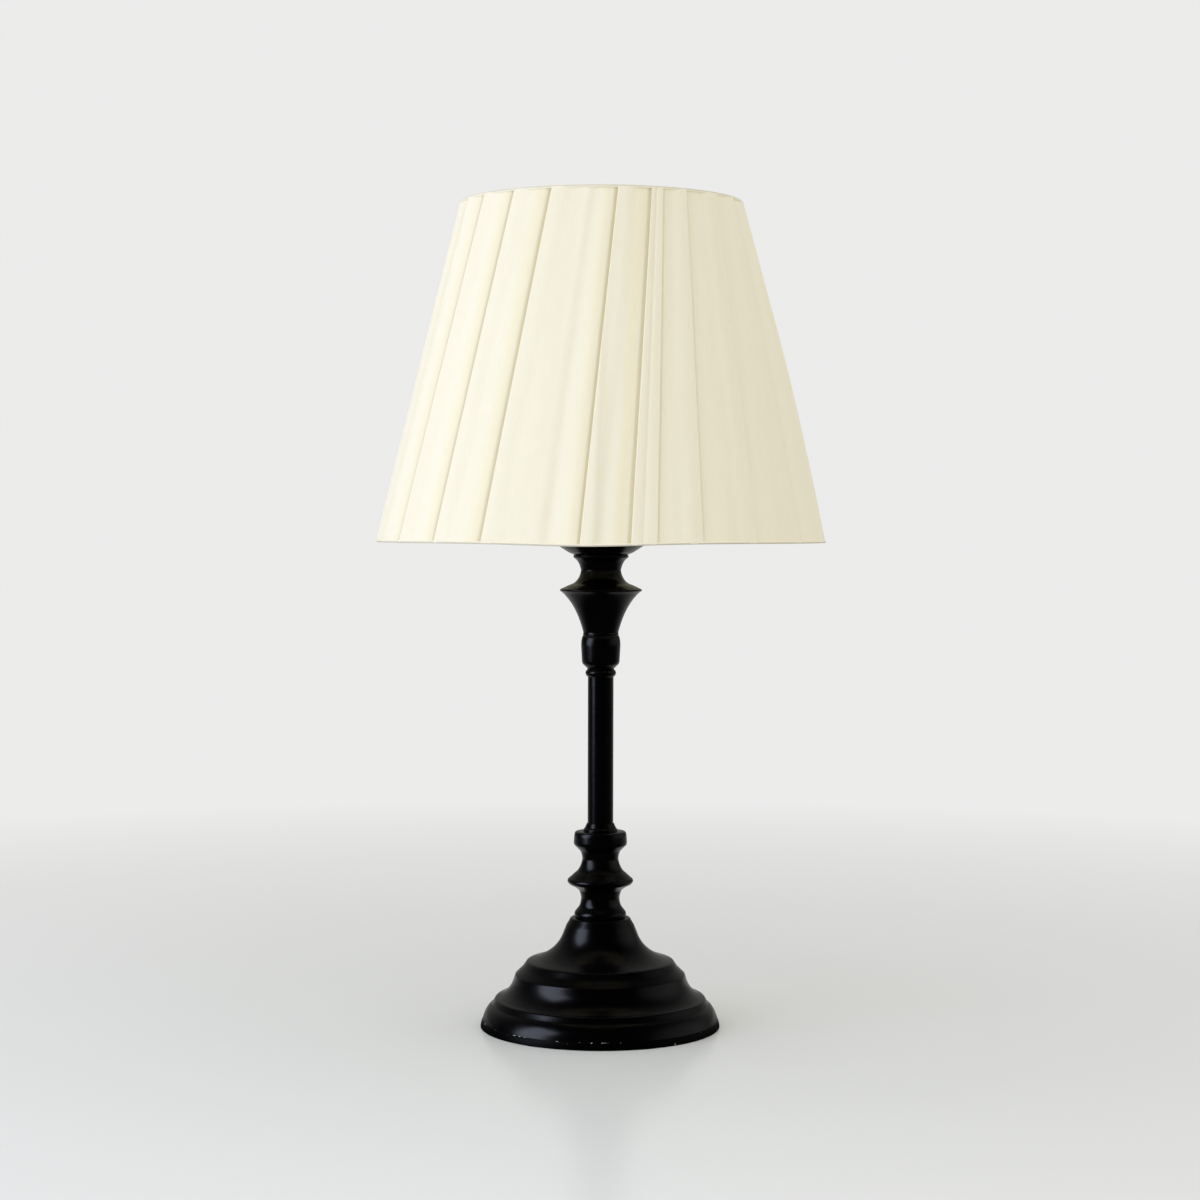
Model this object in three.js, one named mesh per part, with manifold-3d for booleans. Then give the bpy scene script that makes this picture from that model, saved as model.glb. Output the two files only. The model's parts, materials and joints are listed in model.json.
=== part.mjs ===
// Table lamp with a turned black column and a slanting strip-pleated fabric shade.
// Millimetres, +Z up. The origin is the centre of the flat underside, and -Y is the front.
import * as THREE from "three";
import { mergeVertices } from "three/addons/utils/BufferGeometryUtils.js";
import Module from "manifold-3d";

const wasm = await Module();
wasm.setup();

// Clearances
const seatGap = 0.3;
const threadGap = 0.3;

// Every turned outline below is a list of steps from the bottom up. A step goes inwards or outwards
// and up; a bend rounds it, and a rise swells a straight step into a bead.

// Foot ring and pad under the base
const foot = {
  height: 4.2,
  step: 1.2,
  stepBend: 0.3,
  bevel: 0.4,
  width: 7.6,
  lipHeight: 1.6,
  lipWidth: 1.5,
};
const pad = { thickness: 1.5 };

// Base dome, from its edge to its top
const dome = {
  wall: 2,
  topRadius: 16.3,
  steps: {
    bell: { inwards: 5.2, up: 8.6, bend: 0.45 },
    lowerRiser: { inwards: 1.5, up: 2.5 },
    lowerShoulder: { inwards: 1.8, up: 1.2, bend: 0.6 },
    lowerSweep: { inwards: 8.7, up: 9.3, bend: -0.45 },
    band: { inwards: 1.05, up: 3.4 },
    bandEdge: { inwards: 4.05, up: 3.9 },
    upperRiser: { inwards: 2.2, up: 3.2 },
    upperShoulder: { inwards: 1.7, up: 0.8, bend: 0.4 },
    upperSweep: { inwards: 18.2, up: 13.7, bend: -0.5 },
    throat: { inwards: 2.4, up: 6 },
    topSlope: { inwards: 1.8, up: 3 },
    topEdge: { inwards: 0.8, up: 1, bend: 0.5 },
  },
};

// Cord inlet bush in the back of the dome
const inlet = { height: 5.4, bore: 2.6, wall: 1, flangeWidth: 1, flangeThickness: 1 };

// Iron weight inside the base, with the fastening under it
const weight = {
  height: 13.4,
  hubFootRadius: 19,
  hubWall: 3,
  recessRadius: 14,
  recessDepth: 10.8,
  channelWidth: 8,
  channelHeight: 8.4,
};
const washer = { radius: 12, thickness: 1.5 };
const lockWasher = { radius: 9.5, thickness: 1.2 };
const nut = { acrossFlats: 17, height: 5 };

// Hollow threaded rod that holds the column together
const rod = { radius: 5, bore: 3.2, belowNut: 1.6, intoHolder: 11 };

// Turned baluster on the base: knop, cove, disc, cove and collar
const baluster = {
  footRadius: 13.9,
  steps: {
    knop: { rise: 0.6, up: 3.8 },
    knopTop: { inwards: 1.8, up: 2.2 },
    lowerCoveIn: { inwards: 1.4, up: 5.3, bend: -0.5 },
    lowerCoveOut: { outwards: 1.25, up: 4.2, bend: 0.25 },
    discUnder: { outwards: 4.9, up: 3.1, bend: 0.2 },
    discLowerEdge: { outwards: 1.6, up: 2, bend: -0.4 },
    discUpperEdge: { inwards: 1.45, up: 1.9, bend: 0.55 },
    discSlope: { inwards: 2.6, up: 2.45 },
    upperCoveIn: { inwards: 4.35, up: 8.05, bend: -0.5 },
    upperCoveOut: { outwards: 1.65, up: 5, bend: 0.55 },
    collarUnder: { outwards: 2.6, up: 2.5 },
    collarEdge: { outwards: 0.6, up: 1.75, bend: -0.6 },
    collarWall: { inwards: 0.25, up: 3.95 },
    collarLip: { inwards: 0.3, up: 1.3 },
    collarTop: { inwards: 0.6, up: 0.7, bend: 0.5 },
  },
};

// Stem tube between a ferrule, whose widths are measured from its bore, and a bead
const ferrule = {
  footWidth: 2.1,
  footHeight: 1.4,
  middleWidth: 1.3,
  middleHeight: 2,
  topWidth: 0.15,
  height: 4.6,
};
const stem = { radius: 7.15, wall: 1, height: 86.5 };
const bead = { step: 0.1, rise: 1.3, height: 4.4 };

// Turned urn: barrel, neck ring, trumpet and the cove above it
const urn = {
  footRadius: 7.5,
  steps: {
    foot: { up: 0.4 },
    barrelUnder: { outwards: 2.15, up: 2 },
    barrelEdge: { outwards: 0.85, up: 1.9, bend: -0.5 },
    barrelWall: { outwards: 0.5, up: 9.1 },
    barrelTop: { inwards: 0.95, up: 5.1, bend: 0.6 },
    groove: { inwards: 0.35, up: 0.3 },
    neckRing: { rise: 0.25, up: 1.4 },
    trumpet: { outwards: 10.1, up: 20.7, bend: 0.32 },
    trumpetLip: { outwards: 2.8, up: 2.5, bend: 0.2 },
    rim: { rise: 0.3, up: 1.1 },
    rimSlope: { inwards: 5.1, up: 2.4 },
    coveIn: { inwards: 6.4, up: 8, bend: -0.65 },
    coveOut: { outwards: 3.8, up: 6.9, bend: 0.5 },
  },
};

// Drip cup that the lampholder stands in
const cup = {
  footRadius: 14.9,
  floorThickness: 4.2,
  wall: 1.2,
  steps: {
    bead: { rise: 0.55, up: 1.7 },
    groove: { outwards: 0.3, up: 0.25 },
    bowlFlat: { outwards: 2.8, up: 1.15 },
    bowlSlope: { outwards: 5.6, up: 3.6 },
    bowlRim: { outwards: 2.9, up: 4.6, bend: -0.5 },
  },
};

// Lampholder: cap, shell with a threaded skirt, terminal block and contacts
const holder = {
  radius: 19.75,
  wall: 2.2,
  footRadius: 9,
  footHeight: 2,
  flareHeight: 8.8,
  capHeight: 18.8,
  bossRadius: 8,
  spigotHeight: 3,
  spigotWall: 1.8,
  shellHeight: 36,
  mouthLip: 2,
  blockHeight: 7,
  wireBore: 1.6,
  wireBoreRadius: 5,
};
const screwLiner = { bore: 13.4, wall: 0.6, topGap: 3 };
const contact = { width: 3, thickness: 0.5, length: 10, rise: 2.2, footLength: 4 };
const terminal = { radius: 2, height: 2.4, offset: 9 };
const grubScrew = { radius: 1.5, drop: 4.6 };

// Rings on the lampholder's skirt, and the gallery that they clamp
const shadeRing = { hubWall: 2.6, flangeWidth: 4.8, flangeThickness: 2, height: 6, liftOnSkirt: 3 };
const gallery = { play: 1.25, rim: 2.5, thickness: 1.5, armRadius: 1.4, arms: 3, drop: 23.9 };

// Shade: outer size, layers and wires
const shade = {
  bottomRadius: 124.65,
  topRadius: 78.5,
  height: 187,
  coverThickness: 0.8,
  foldHeight: 1,
  liningThickness: 0.8,
  wireRadius: 1.5,
  ribs: 6,
  bindingHeight: 1.4,
  bindingRound: 0.5,
};

// Folds seen from the front, each as its angle at the bottom and at the top edge,
// in degrees from the front centre and positive towards +X; between the two it runs straight
const frontFolds = [
  [-72.6, -67.5],
  [-60.2, -53.9],
  [-45.1, -36.9],
  [-30.4, -20.3],
  [-5.5, 5.6],
  [6.5, 18.9],
  [13.3, 24.3],
  [24.8, 34.6],
  [40.6, 51.5],
  [58.4, 64.4],
];
// The narrow strip that starts at this fold lies over both of its neighbours
const topStripIndex = 5;
const backStrips = 14;
const foldEdgeAngle = 0.25;
const stripFacetAngle = 5.5;

// Candle bulb with a screw cap
const bulb = {
  capRadius: 13.05,
  capHeight: 21,
  capWall: 0.5,
  capTurnIn: 4,
  insulatorHeight: 3.2,
  insulatorRadius: 8,
  tipRadius: 4.5,
  tipEdge: 1,
  tipHeight: 1,
  glassRadius: 18.5,
  glassWall: 0.8,
  neckHeight: 6,
  bellyHeight: 18,
  shoulder: { inwards: 8.3, up: 30, bend: 0.7 },
  point: { radius: 1.6, up: 15, bend: -0.2 },
};
const mount = { footHeight: 1, radius: 4, topRadius: 2, shoulderHeight: 6, height: 22 };
const filament = { count: 4, radius: 0.9, length: 28, overlap: 6, bridgeRadius: 0.5 };

// Facets
const baseFacets = 36;
const domeInsideFacets = 18;
const columnFacets = 24;
const rodFacets = 12;
const bulbFacets = 20;
const holderFacets = 24;
const shadeFacets = 48;
const wireFacets = 6;
const smallFacets = 8;
const nutSides = 6;
const coverRows = 4;
const curveSteps = 3;
const insideCurveSteps = 2;

// Heights of the seams between pieces, worked out from the sizes
function outwardsOf(step) {
  return (step.outwards ?? 0) - (step.inwards ?? 0);
}
function stepsHeight(steps) {
  return Object.values(steps).reduce((sum, step) => sum + step.up, 0);
}
function stepsWidth(steps) {
  return Object.values(steps).reduce((sum, step) => sum + outwardsOf(step), 0);
}
const domeRadius = dome.topRadius - stepsWidth(dome.steps);
const footRadius = domeRadius + foot.step;
const domeTop = foot.height + stepsHeight(dome.steps);
const balusterTop = domeTop + stepsHeight(baluster.steps);
const stemTop = balusterTop + stem.height;
const beadTop = stemTop + bead.height;
const urnTop = beadTop + stepsHeight(urn.steps);
const cupFloor = urnTop + cup.floorThickness;
const shellFoot = cupFloor + holder.capHeight;
const shellTop = shellFoot + holder.shellHeight;
const blockFoot = shellFoot + holder.spigotHeight;
const blockTop = blockFoot + holder.blockHeight;
const lowerRingFoot = shellFoot + shadeRing.liftOnSkirt;
const galleryFoot = lowerRingFoot + shadeRing.height + seatGap;
const upperRingFoot = galleryFoot + gallery.thickness + seatGap;
const shadeFoot = galleryFoot + gallery.thickness / 2 - gallery.drop;
const shadeTop = shadeFoot + shade.height;
const bulbFoot = blockTop + contact.rise + contact.thickness + seatGap;
const columnBore = rod.radius + threadGap;

// Materials
function paint(color, roughness, metalness) {
  return new THREE.MeshStandardMaterial({ color, roughness, metalness });
}
const blackPaint = paint(0x0b0b0c, 0.38, 0.1);
const footBlack = paint(0x070707, 0.5, 0);
const castIron = paint(0x3a3b3d, 0.7, 0.8);
const zincSteel = paint(0xa9abae, 0.35, 1);
const brass = paint(0xb8923f, 0.35, 1);
const nickel = paint(0xb9b8b2, 0.3, 1);
const blackPlastic = paint(0x101010, 0.45, 0);
const ceramic = paint(0xe6e1d6, 0.4, 0);
const padFelt = paint(0x1c1c1c, 0.95, 0);
const ivoryFabric = paint(0xf0e6cf, 0.9, 0);
const liningFabric = paint(0xf4efe2, 0.9, 0);
const whiteWire = paint(0xe9e7e0, 0.5, 0.2);
const glass = new THREE.MeshStandardMaterial({
  color: 0xf4f6f6,
  roughness: 0.05,
  metalness: 0,
  transparent: true,
  opacity: 0.35,
});
const filamentYellow = paint(0xe8b23a, 0.5, 0);
const darkInsulator = paint(0x17171a, 0.25, 0);

// Outline in the (radius, height) plane, drawn by steps from its last point
class Outline {
  constructor(radius, height) {
    this.path = new THREE.Path();
    this.path.moveTo(radius, height);
    this.radius = radius;
    this.height = height;
  }
  to(radius, height) {
    this.path.lineTo(radius, height);
    this.radius = radius;
    this.height = height;
    return this;
  }
  by(outwards, upwards) {
    return this.to(this.radius + outwards, this.height + upwards);
  }
  // A bend of 1 leaves upwards and arrives level, one of -1 leaves level and arrives upwards
  bendBy(outwards, upwards, bend) {
    const middleRadius = this.radius + outwards / 2;
    const middleHeight = this.height + upwards / 2;
    const controlRadius = middleRadius - (bend * outwards) / 2;
    const controlHeight = middleHeight + (bend * upwards) / 2;
    const radius = this.radius + outwards;
    const height = this.height + upwards;
    this.path.quadraticCurveTo(controlRadius, controlHeight, radius, height);
    this.radius = radius;
    this.height = height;
    return this;
  }
  // A bead goes straight up by its height and swells out by its rise half way
  beadBy(rise, upwards) {
    const controlRadius = this.radius + 2 * rise;
    const height = this.height + upwards;
    this.path.quadraticCurveTo(controlRadius, this.height + upwards / 2, this.radius, height);
    this.height = height;
    return this;
  }
  draw(steps) {
    for (const step of Object.values(steps)) {
      if (step.rise) {
        this.beadBy(step.rise, step.up);
      } else if (step.bend) {
        this.bendBy(outwardsOf(step), step.up, step.bend);
      } else {
        this.by(outwardsOf(step), step.up);
      }
    }
    return this;
  }
  points(divisions = curveSteps) {
    return this.path.getPoints(divisions);
  }
}

// Solid made by turning a closed outline about the Z axis
function turned(outline, facets, divisions = curveSteps) {
  const points = outline.points ? outline.points(divisions) : outline;
  const closed = [...points];
  const first = points[0];
  const last = points[points.length - 1];
  const onAxis = first.x === 0 && last.x === 0;
  if (!onAxis && !first.equals(last)) {
    closed.push(first.clone());
  }
  const geometry = new THREE.LatheGeometry(closed, facets);
  geometry.rotateX(Math.PI / 2);
  return geometry;
}

// Plain ring or disc between two heights
function ring(bore, radius, low, high, facets) {
  const outline = new Outline(bore, low).to(radius, low).to(radius, high).to(bore, high);
  return turned(outline, facets);
}

// Booleans on closed geometries
function solid(geometry) {
  const bare = new THREE.BufferGeometry();
  bare.setAttribute("position", geometry.getAttribute("position"));
  bare.setIndex(geometry.index);
  const merged = mergeVertices(bare);
  const mesh = new wasm.Mesh({
    numProp: 3,
    vertProperties: new Float32Array(merged.getAttribute("position").array),
    triVerts: new Uint32Array(merged.index.array),
  });
  return new wasm.Manifold(mesh);
}
function geometryOf(shape) {
  const mesh = shape.getMesh();
  const geometry = new THREE.BufferGeometry();
  geometry.setAttribute("position", new THREE.BufferAttribute(mesh.vertProperties, 3));
  geometry.setIndex(new THREE.BufferAttribute(mesh.triVerts, 1));
  geometry.computeVertexNormals();
  return geometry;
}

// Cylinder or prism along the line from one point to another
function rodBetween(from, to, radius, sides) {
  const along = new THREE.Vector3().subVectors(to, from);
  const geometry = new THREE.CylinderGeometry(radius, radius, along.length(), sides);
  const turn = new THREE.Quaternion();
  turn.setFromUnitVectors(new THREE.Vector3(0, 1, 0), along.clone().normalize());
  const middle = new THREE.Vector3().addVectors(from, to).multiplyScalar(0.5);
  geometry.applyQuaternion(turn);
  geometry.translate(middle.x, middle.y, middle.z);
  return geometry;
}

function boxAt(width, depth, height, x, y, z) {
  const geometry = new THREE.BoxGeometry(width, depth, height);
  geometry.translate(x, y, z);
  return geometry;
}

// Base dome
// The outer outline runs from the edge to the top; an offset moves it outwards.
function domeOutline(offset = 0) {
  return new Outline(domeRadius + offset, foot.height).draw(dome.steps);
}

function domeSolid(offset) {
  const outline = domeOutline(offset);
  outline.to(0, domeTop);
  const points = [new THREE.Vector2(0, foot.height), ...outline.points()];
  return solid(turned(points, baseFacets));
}

// The hollow is the outer outline moved in and down by the wall, run on below the edge.
function domeHollowPoints() {
  return domeOutline().points(insideCurveSteps).map(
    (point) => new THREE.Vector2(point.x - dome.wall, point.y - dome.wall),
  );
}

function domeHollow() {
  const points = domeHollowPoints();
  const below = foot.height - 2 * dome.wall;
  const start = [new THREE.Vector2(0, below), new THREE.Vector2(points[0].x, below)];
  const end = new THREE.Vector2(0, domeTop - dome.wall);
  return solid(turned([...start, ...points, end], domeInsideFacets));
}

// Radius of a faceted outline at a height, where the outline narrows going up
function radiusAt(points, height) {
  for (let i = 1; i < points.length; i += 1) {
    const low = points[i - 1];
    const high = points[i];
    if (height <= high.y && high.y > low.y) {
      const share = Math.max(0, (height - low.y) / (high.y - low.y));
      return low.x + share * (high.x - low.x);
    }
  }
  return points[points.length - 1].x;
}

function hollowRadiusAt(height) {
  return radiusAt(domeHollowPoints(), height) * Math.cos(Math.PI / domeInsideFacets);
}

function inletCylinder(radius, reach) {
  const height = foot.height + inlet.height;
  const from = new THREE.Vector3(0, domeRadius / 2, height);
  const to = new THREE.Vector3(0, domeRadius + reach, height);
  return solid(rodBetween(from, to, radius, holderFacets / 2));
}

function baseDome() {
  const boss = ring(0, columnBore, domeTop - 2 * dome.wall, domeTop + dome.wall, columnFacets);
  return geometryOf(
    domeSolid(0)
      .subtract(domeHollow())
      .subtract(solid(boss))
      .subtract(inletCylinder(inlet.bore + inlet.wall + seatGap, foot.step + dome.wall)),
  );
}

// Flanged bush that follows the dome's surface where the cord comes in
function cordInlet() {
  const reach = foot.step + dome.wall;
  const flange = inletCylinder(inlet.bore + inlet.wall + inlet.flangeWidth, reach)
    .intersect(domeSolid(seatGap + inlet.flangeThickness))
    .subtract(domeSolid(seatGap));
  const innerEnd = hollowRadiusAt(foot.height + inlet.height) - inlet.flangeThickness;
  const inside = boxAt(domeRadius, 2 * innerEnd, domeRadius, 0, 0, foot.height + inlet.height);
  const neck = inletCylinder(inlet.bore + inlet.wall, reach)
    .intersect(domeSolid(seatGap + inlet.flangeThickness))
    .subtract(solid(inside));
  return geometryOf(flange.add(neck).subtract(inletCylinder(inlet.bore, reach)));
}

function footRing() {
  const lipTop = foot.height + foot.lipHeight;
  const lipRadius = hollowRadiusAt(lipTop) - seatGap;
  const outline = new Outline(footRadius - foot.width, 0)
    .to(footRadius - foot.bevel, 0)
    .to(footRadius, foot.bevel)
    .bendBy(-foot.step, foot.height - foot.bevel, foot.stepBend)
    .to(lipRadius, foot.height)
    .to(lipRadius, lipTop)
    .to(lipRadius - foot.lipWidth, lipTop)
    .to(lipRadius - foot.lipWidth, foot.height)
    .to(footRadius - foot.width, foot.height);
  return turned(outline, baseFacets);
}

function basePad() {
  const radius = (footRadius - foot.width) * Math.cos(Math.PI / baseFacets) - seatGap;
  return ring(0, radius, 0, pad.thickness, baseFacets);
}

// Weight, with a hub up to the dome, a recess for the nut and a channel for the cord
const weightFoot = pad.thickness;
const weightTop = weightFoot + weight.height;
const recessTop = weightFoot + weight.recessDepth;
function baseWeight() {
  const radius = hollowRadiusAt(weightTop) - seatGap;
  const hubTop = domeTop - dome.wall - seatGap;
  const outline = new Outline(weight.recessRadius, weightFoot)
    .to(radius, weightFoot)
    .to(radius, weightTop)
    .to(weight.hubFootRadius, weightTop)
    .to(columnBore + weight.hubWall, hubTop)
    .to(columnBore, hubTop)
    .to(columnBore, recessTop)
    .to(weight.recessRadius, recessTop);
  const channelHeight = weight.channelHeight + pad.thickness;
  const channel = boxAt(
    weight.channelWidth,
    radius + seatGap,
    channelHeight,
    0,
    (radius + seatGap) / 2,
    weightFoot + weight.channelHeight / 2 - pad.thickness / 2,
  );
  return geometryOf(solid(turned(outline, domeInsideFacets)).subtract(solid(channel)));
}

function baseWasher() {
  return ring(columnBore, washer.radius, recessTop - washer.thickness, recessTop, columnFacets);
}

const lockWasherTop = recessTop - washer.thickness;
const nutTop = lockWasherTop - lockWasher.thickness;
function baseLockWasher() {
  return ring(columnBore, lockWasher.radius, nutTop, lockWasherTop, columnFacets);
}

function baseNut() {
  const corner = nut.acrossFlats / Math.sqrt(3);
  const low = nutTop - nut.height;
  const hexagon = ring(0, corner, low, nutTop, nutSides);
  const bore = ring(0, columnBore, low - seatGap, nutTop + seatGap, columnFacets);
  return geometryOf(solid(hexagon).subtract(solid(bore)));
}

const rodFoot = nutTop - nut.height - rod.belowNut;
const rodTop = cupFloor + rod.intoHolder;
function stemRod() {
  return ring(rod.bore, rod.radius, rodFoot, rodTop, rodFacets);
}

// Column
function lowerBaluster() {
  const outline = new Outline(columnBore, domeTop)
    .to(baluster.footRadius, domeTop)
    .draw(baluster.steps)
    .to(columnBore, balusterTop);
  return turned(outline, columnFacets);
}

function lowerFerrule() {
  const bore = stem.radius + seatGap;
  const outline = new Outline(bore, balusterTop)
    .to(bore + ferrule.footWidth, balusterTop)
    .by(0, ferrule.footHeight)
    .to(bore + ferrule.middleWidth, balusterTop + ferrule.middleHeight)
    .to(bore + ferrule.topWidth, balusterTop + ferrule.height)
    .to(bore, balusterTop + ferrule.height);
  return turned(outline, columnFacets);
}

function stemTube() {
  return ring(stem.radius - stem.wall, stem.radius, balusterTop, stemTop, columnFacets);
}

function upperBead() {
  const outline = new Outline(columnBore, stemTop)
    .to(stem.radius + bead.step, stemTop)
    .beadBy(bead.rise, bead.height)
    .to(columnBore, beadTop);
  return turned(outline, columnFacets);
}

function turnedUrn() {
  const outline = new Outline(columnBore, beadTop)
    .to(urn.footRadius, beadTop)
    .draw(urn.steps)
    .to(columnBore, urnTop);
  return turned(outline, columnFacets);
}

// Open bowl on a thick floor: the inside follows the outside at the wall's thickness
function dripCup() {
  const { bowlRim, bowlSlope } = cup.steps;
  const outline = new Outline(columnBore, urnTop).to(cup.footRadius, urnTop).draw(cup.steps);
  outline.by(-cup.wall, 0).bendBy(-bowlRim.outwards, -bowlRim.up, bowlRim.bend);
  const slopeShare = (outline.height - cupFloor) / bowlSlope.up;
  outline.by(-slopeShare * bowlSlope.outwards, -slopeShare * bowlSlope.up);
  outline.to(columnBore, cupFloor);
  return turned(outline, holderFacets, insideCurveSteps);
}

// Lampholder
const capBore = holder.radius - holder.wall;
const spigotRadius = capBore - seatGap;
function holderCap() {
  const flareTop = cupFloor + holder.footHeight + holder.flareHeight;
  const floorTop = cupFloor + holder.footHeight + holder.wall;
  const outline = new Outline(columnBore, cupFloor)
    .to(holder.footRadius, cupFloor)
    .by(0, holder.footHeight)
    .to(holder.radius, flareTop)
    .to(holder.radius, shellFoot)
    .to(spigotRadius, shellFoot)
    .to(spigotRadius, blockFoot)
    .to(spigotRadius - holder.spigotWall, blockFoot)
    .to(spigotRadius - holder.spigotWall, flareTop + holder.wall)
    .to(holder.bossRadius, floorTop)
    .to(holder.bossRadius, rodTop)
    .to(columnBore, rodTop);
  const screwHeight = shellFoot - grubScrew.drop;
  const from = new THREE.Vector3(0, holder.radius / 2, screwHeight);
  const to = new THREE.Vector3(0, holder.radius + holder.wall, screwHeight);
  const hole = rodBetween(from, to, grubScrew.radius + threadGap, smallFacets);
  return geometryOf(solid(turned(outline, holderFacets)).subtract(solid(hole)));
}

function capGrubScrew() {
  const screwHeight = shellFoot - grubScrew.drop;
  const outer = holder.radius * Math.cos(Math.PI / holderFacets) - threadGap;
  const from = new THREE.Vector3(0, outer - holder.wall, screwHeight);
  const to = new THREE.Vector3(0, outer, screwHeight);
  return rodBetween(from, to, grubScrew.radius, smallFacets);
}

function holderShell() {
  const mouth = screwLiner.bore + screwLiner.wall + seatGap;
  const outline = new Outline(capBore, shellFoot)
    .to(holder.radius, shellFoot)
    .to(holder.radius, shellTop)
    .to(mouth, shellTop)
    .to(mouth, shellTop - holder.mouthLip)
    .to(capBore, shellTop - holder.mouthLip);
  return turned(outline, holderFacets);
}

function terminalBlock() {
  const radius = spigotRadius * Math.cos(Math.PI / holderFacets) - seatGap;
  const block = solid(ring(0, radius, blockFoot, blockTop, holderFacets));
  const low = blockFoot - seatGap;
  const high = blockTop + seatGap;
  const holes = [0, Math.PI].map((angle) => {
    const bore = ring(0, holder.wireBore, low, high, smallFacets);
    bore.translate(0, holder.wireBoreRadius * Math.cos(angle), 0);
    return solid(bore);
  });
  return geometryOf(holes.reduce((part, hole) => part.subtract(hole), block));
}

function terminalScrew(side) {
  const top = blockFoot - seatGap;
  const head = ring(0, terminal.radius, top - terminal.height, top, rodFacets);
  head.translate(side * terminal.offset, 0, 0);
  return head;
}

// Bent strip: its foot lies on the block and its tongue rises to the middle
function centreContact() {
  const half = contact.length / 2;
  const shape = new THREE.Shape();
  shape.moveTo(-half - contact.footLength, 0);
  shape.lineTo(-half, 0);
  shape.lineTo(-contact.thickness, contact.rise);
  shape.lineTo(half / 2, contact.rise);
  shape.lineTo(half / 2, contact.rise + contact.thickness);
  shape.lineTo(-2 * contact.thickness, contact.rise + contact.thickness);
  shape.lineTo(-half - contact.thickness, contact.thickness);
  shape.lineTo(-half - contact.footLength, contact.thickness);
  shape.closePath();
  const geometry = new THREE.ExtrudeGeometry(shape, { depth: contact.width, bevelEnabled: false });
  geometry.translate(0, 0, -contact.width / 2);
  geometry.rotateX(Math.PI / 2);
  geometry.translate(0, 0, blockTop);
  return geometry;
}

function threadedLiner() {
  const top = shellTop - screwLiner.topGap;
  return ring(screwLiner.bore, screwLiner.bore + screwLiner.wall, blockTop, top, holderFacets);
}

// Threaded shade ring: a hub on the skirt with a flange against the gallery
const ringHub = holder.radius + threadGap + shadeRing.hubWall;
const ringEdge = ringHub + shadeRing.flangeWidth;
function threadedRing(footHeight, flangeOnTop) {
  const bore = holder.radius + threadGap;
  const hub = ringHub;
  const edge = ringEdge;
  const top = footHeight + shadeRing.height;
  const outline = new Outline(bore, footHeight);
  if (flangeOnTop) {
    outline
      .to(hub, footHeight)
      .to(hub, top - shadeRing.flangeThickness)
      .to(edge, top - shadeRing.flangeThickness)
      .to(edge, top)
      .to(bore, top);
  } else {
    outline
      .to(edge, footHeight)
      .to(edge, footHeight + shadeRing.flangeThickness)
      .to(hub, footHeight + shadeRing.flangeThickness)
      .to(hub, top)
      .to(bore, top);
  }
  return turned(outline, holderFacets);
}

// Shade
// Radius of the cone through the fold crests, less an inset square to the cone
const shadeSlope = (shade.bottomRadius - shade.topRadius) / shade.height;
const shadeSlant = Math.cos(Math.atan(shadeSlope));
function shadeRadius(height, inset) {
  return shade.bottomRadius - (height - shadeFoot) * shadeSlope - inset / shadeSlant;
}
const coverInset = shade.foldHeight + shade.coverThickness;
const wireInset = coverInset + seatGap + shade.wireRadius;
const liningInset = wireInset + shade.wireRadius + seatGap;
const liningInsideInset = liningInset + shade.liningThickness;
const clothFoot = shadeFoot + shade.bindingHeight + seatGap;
const clothTop = shadeTop - shade.bindingHeight - seatGap;
const bottomWire = clothFoot + shade.wireRadius;
const topWire = clothTop - shade.wireRadius;

function wireRing(height) {
  const centre = new THREE.Vector2(shadeRadius(height, wireInset), height);
  const points = [];
  for (let i = 0; i <= wireFacets; i += 1) {
    const angle = (2 * Math.PI * (i % wireFacets)) / wireFacets;
    const x = centre.x + shade.wireRadius * Math.cos(angle);
    const y = centre.y + shade.wireRadius * Math.sin(angle);
    points.push(new THREE.Vector2(x, y));
  }
  return turned(points, shadeFacets);
}

function frameRib(index) {
  const endGap = shade.wireRadius + seatGap;
  const low = bottomWire + endGap;
  const high = topWire - endGap;
  const from = new THREE.Vector3(shadeRadius(low, wireInset), 0, low);
  const to = new THREE.Vector3(shadeRadius(high, wireInset), 0, high);
  const rib = rodBetween(from, to, shade.wireRadius, wireFacets);
  rib.rotateZ((2 * Math.PI * (index + 0.5)) / shade.ribs);
  return rib;
}

// Gallery: a plate ring between the shade rings, with arms out to the bottom wire
function armAngle(index) {
  return Math.PI / 2 + (2 * Math.PI * index) / gallery.arms;
}
function shadeGallery() {
  const outer = ringEdge + gallery.rim;
  const top = galleryFoot + gallery.thickness;
  let part = solid(ring(holder.radius + gallery.play, outer, galleryFoot, top, holderFacets));
  const middle = galleryFoot + gallery.thickness / 2;
  const reach = shadeRadius(bottomWire, wireInset) - shade.wireRadius - seatGap - gallery.armRadius / 2;
  for (let i = 0; i < gallery.arms; i += 1) {
    const from = new THREE.Vector3(ringEdge + seatGap + gallery.armRadius / 2, 0, middle);
    const to = new THREE.Vector3(reach, 0, bottomWire);
    const arm = rodBetween(from, to, gallery.armRadius, wireFacets);
    arm.rotateZ(armAngle(i));
    part = part.add(solid(arm));
  }
  return geometryOf(part);
}

// Lining inside the ribs, with a slot in its lower edge round each arm
function shadeLining() {
  const points = [
    [liningInset, clothFoot],
    [liningInset, clothTop],
    [liningInsideInset, clothTop],
    [liningInsideInset, clothFoot],
  ].map(([inset, height]) => new THREE.Vector2(shadeRadius(height, inset), height));
  const slotRadius = gallery.armRadius + 2 * seatGap;
  let part = solid(turned(points, shadeFacets));
  for (let i = 0; i < gallery.arms; i += 1) {
    const reach = shade.bottomRadius;
    const slot = boxAt(reach, 2 * slotRadius, 4 * slotRadius, reach, 0, clothFoot);
    slot.rotateZ(armAngle(i));
    part = part.subtract(solid(slot));
  }
  return geometryOf(part);
}

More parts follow.
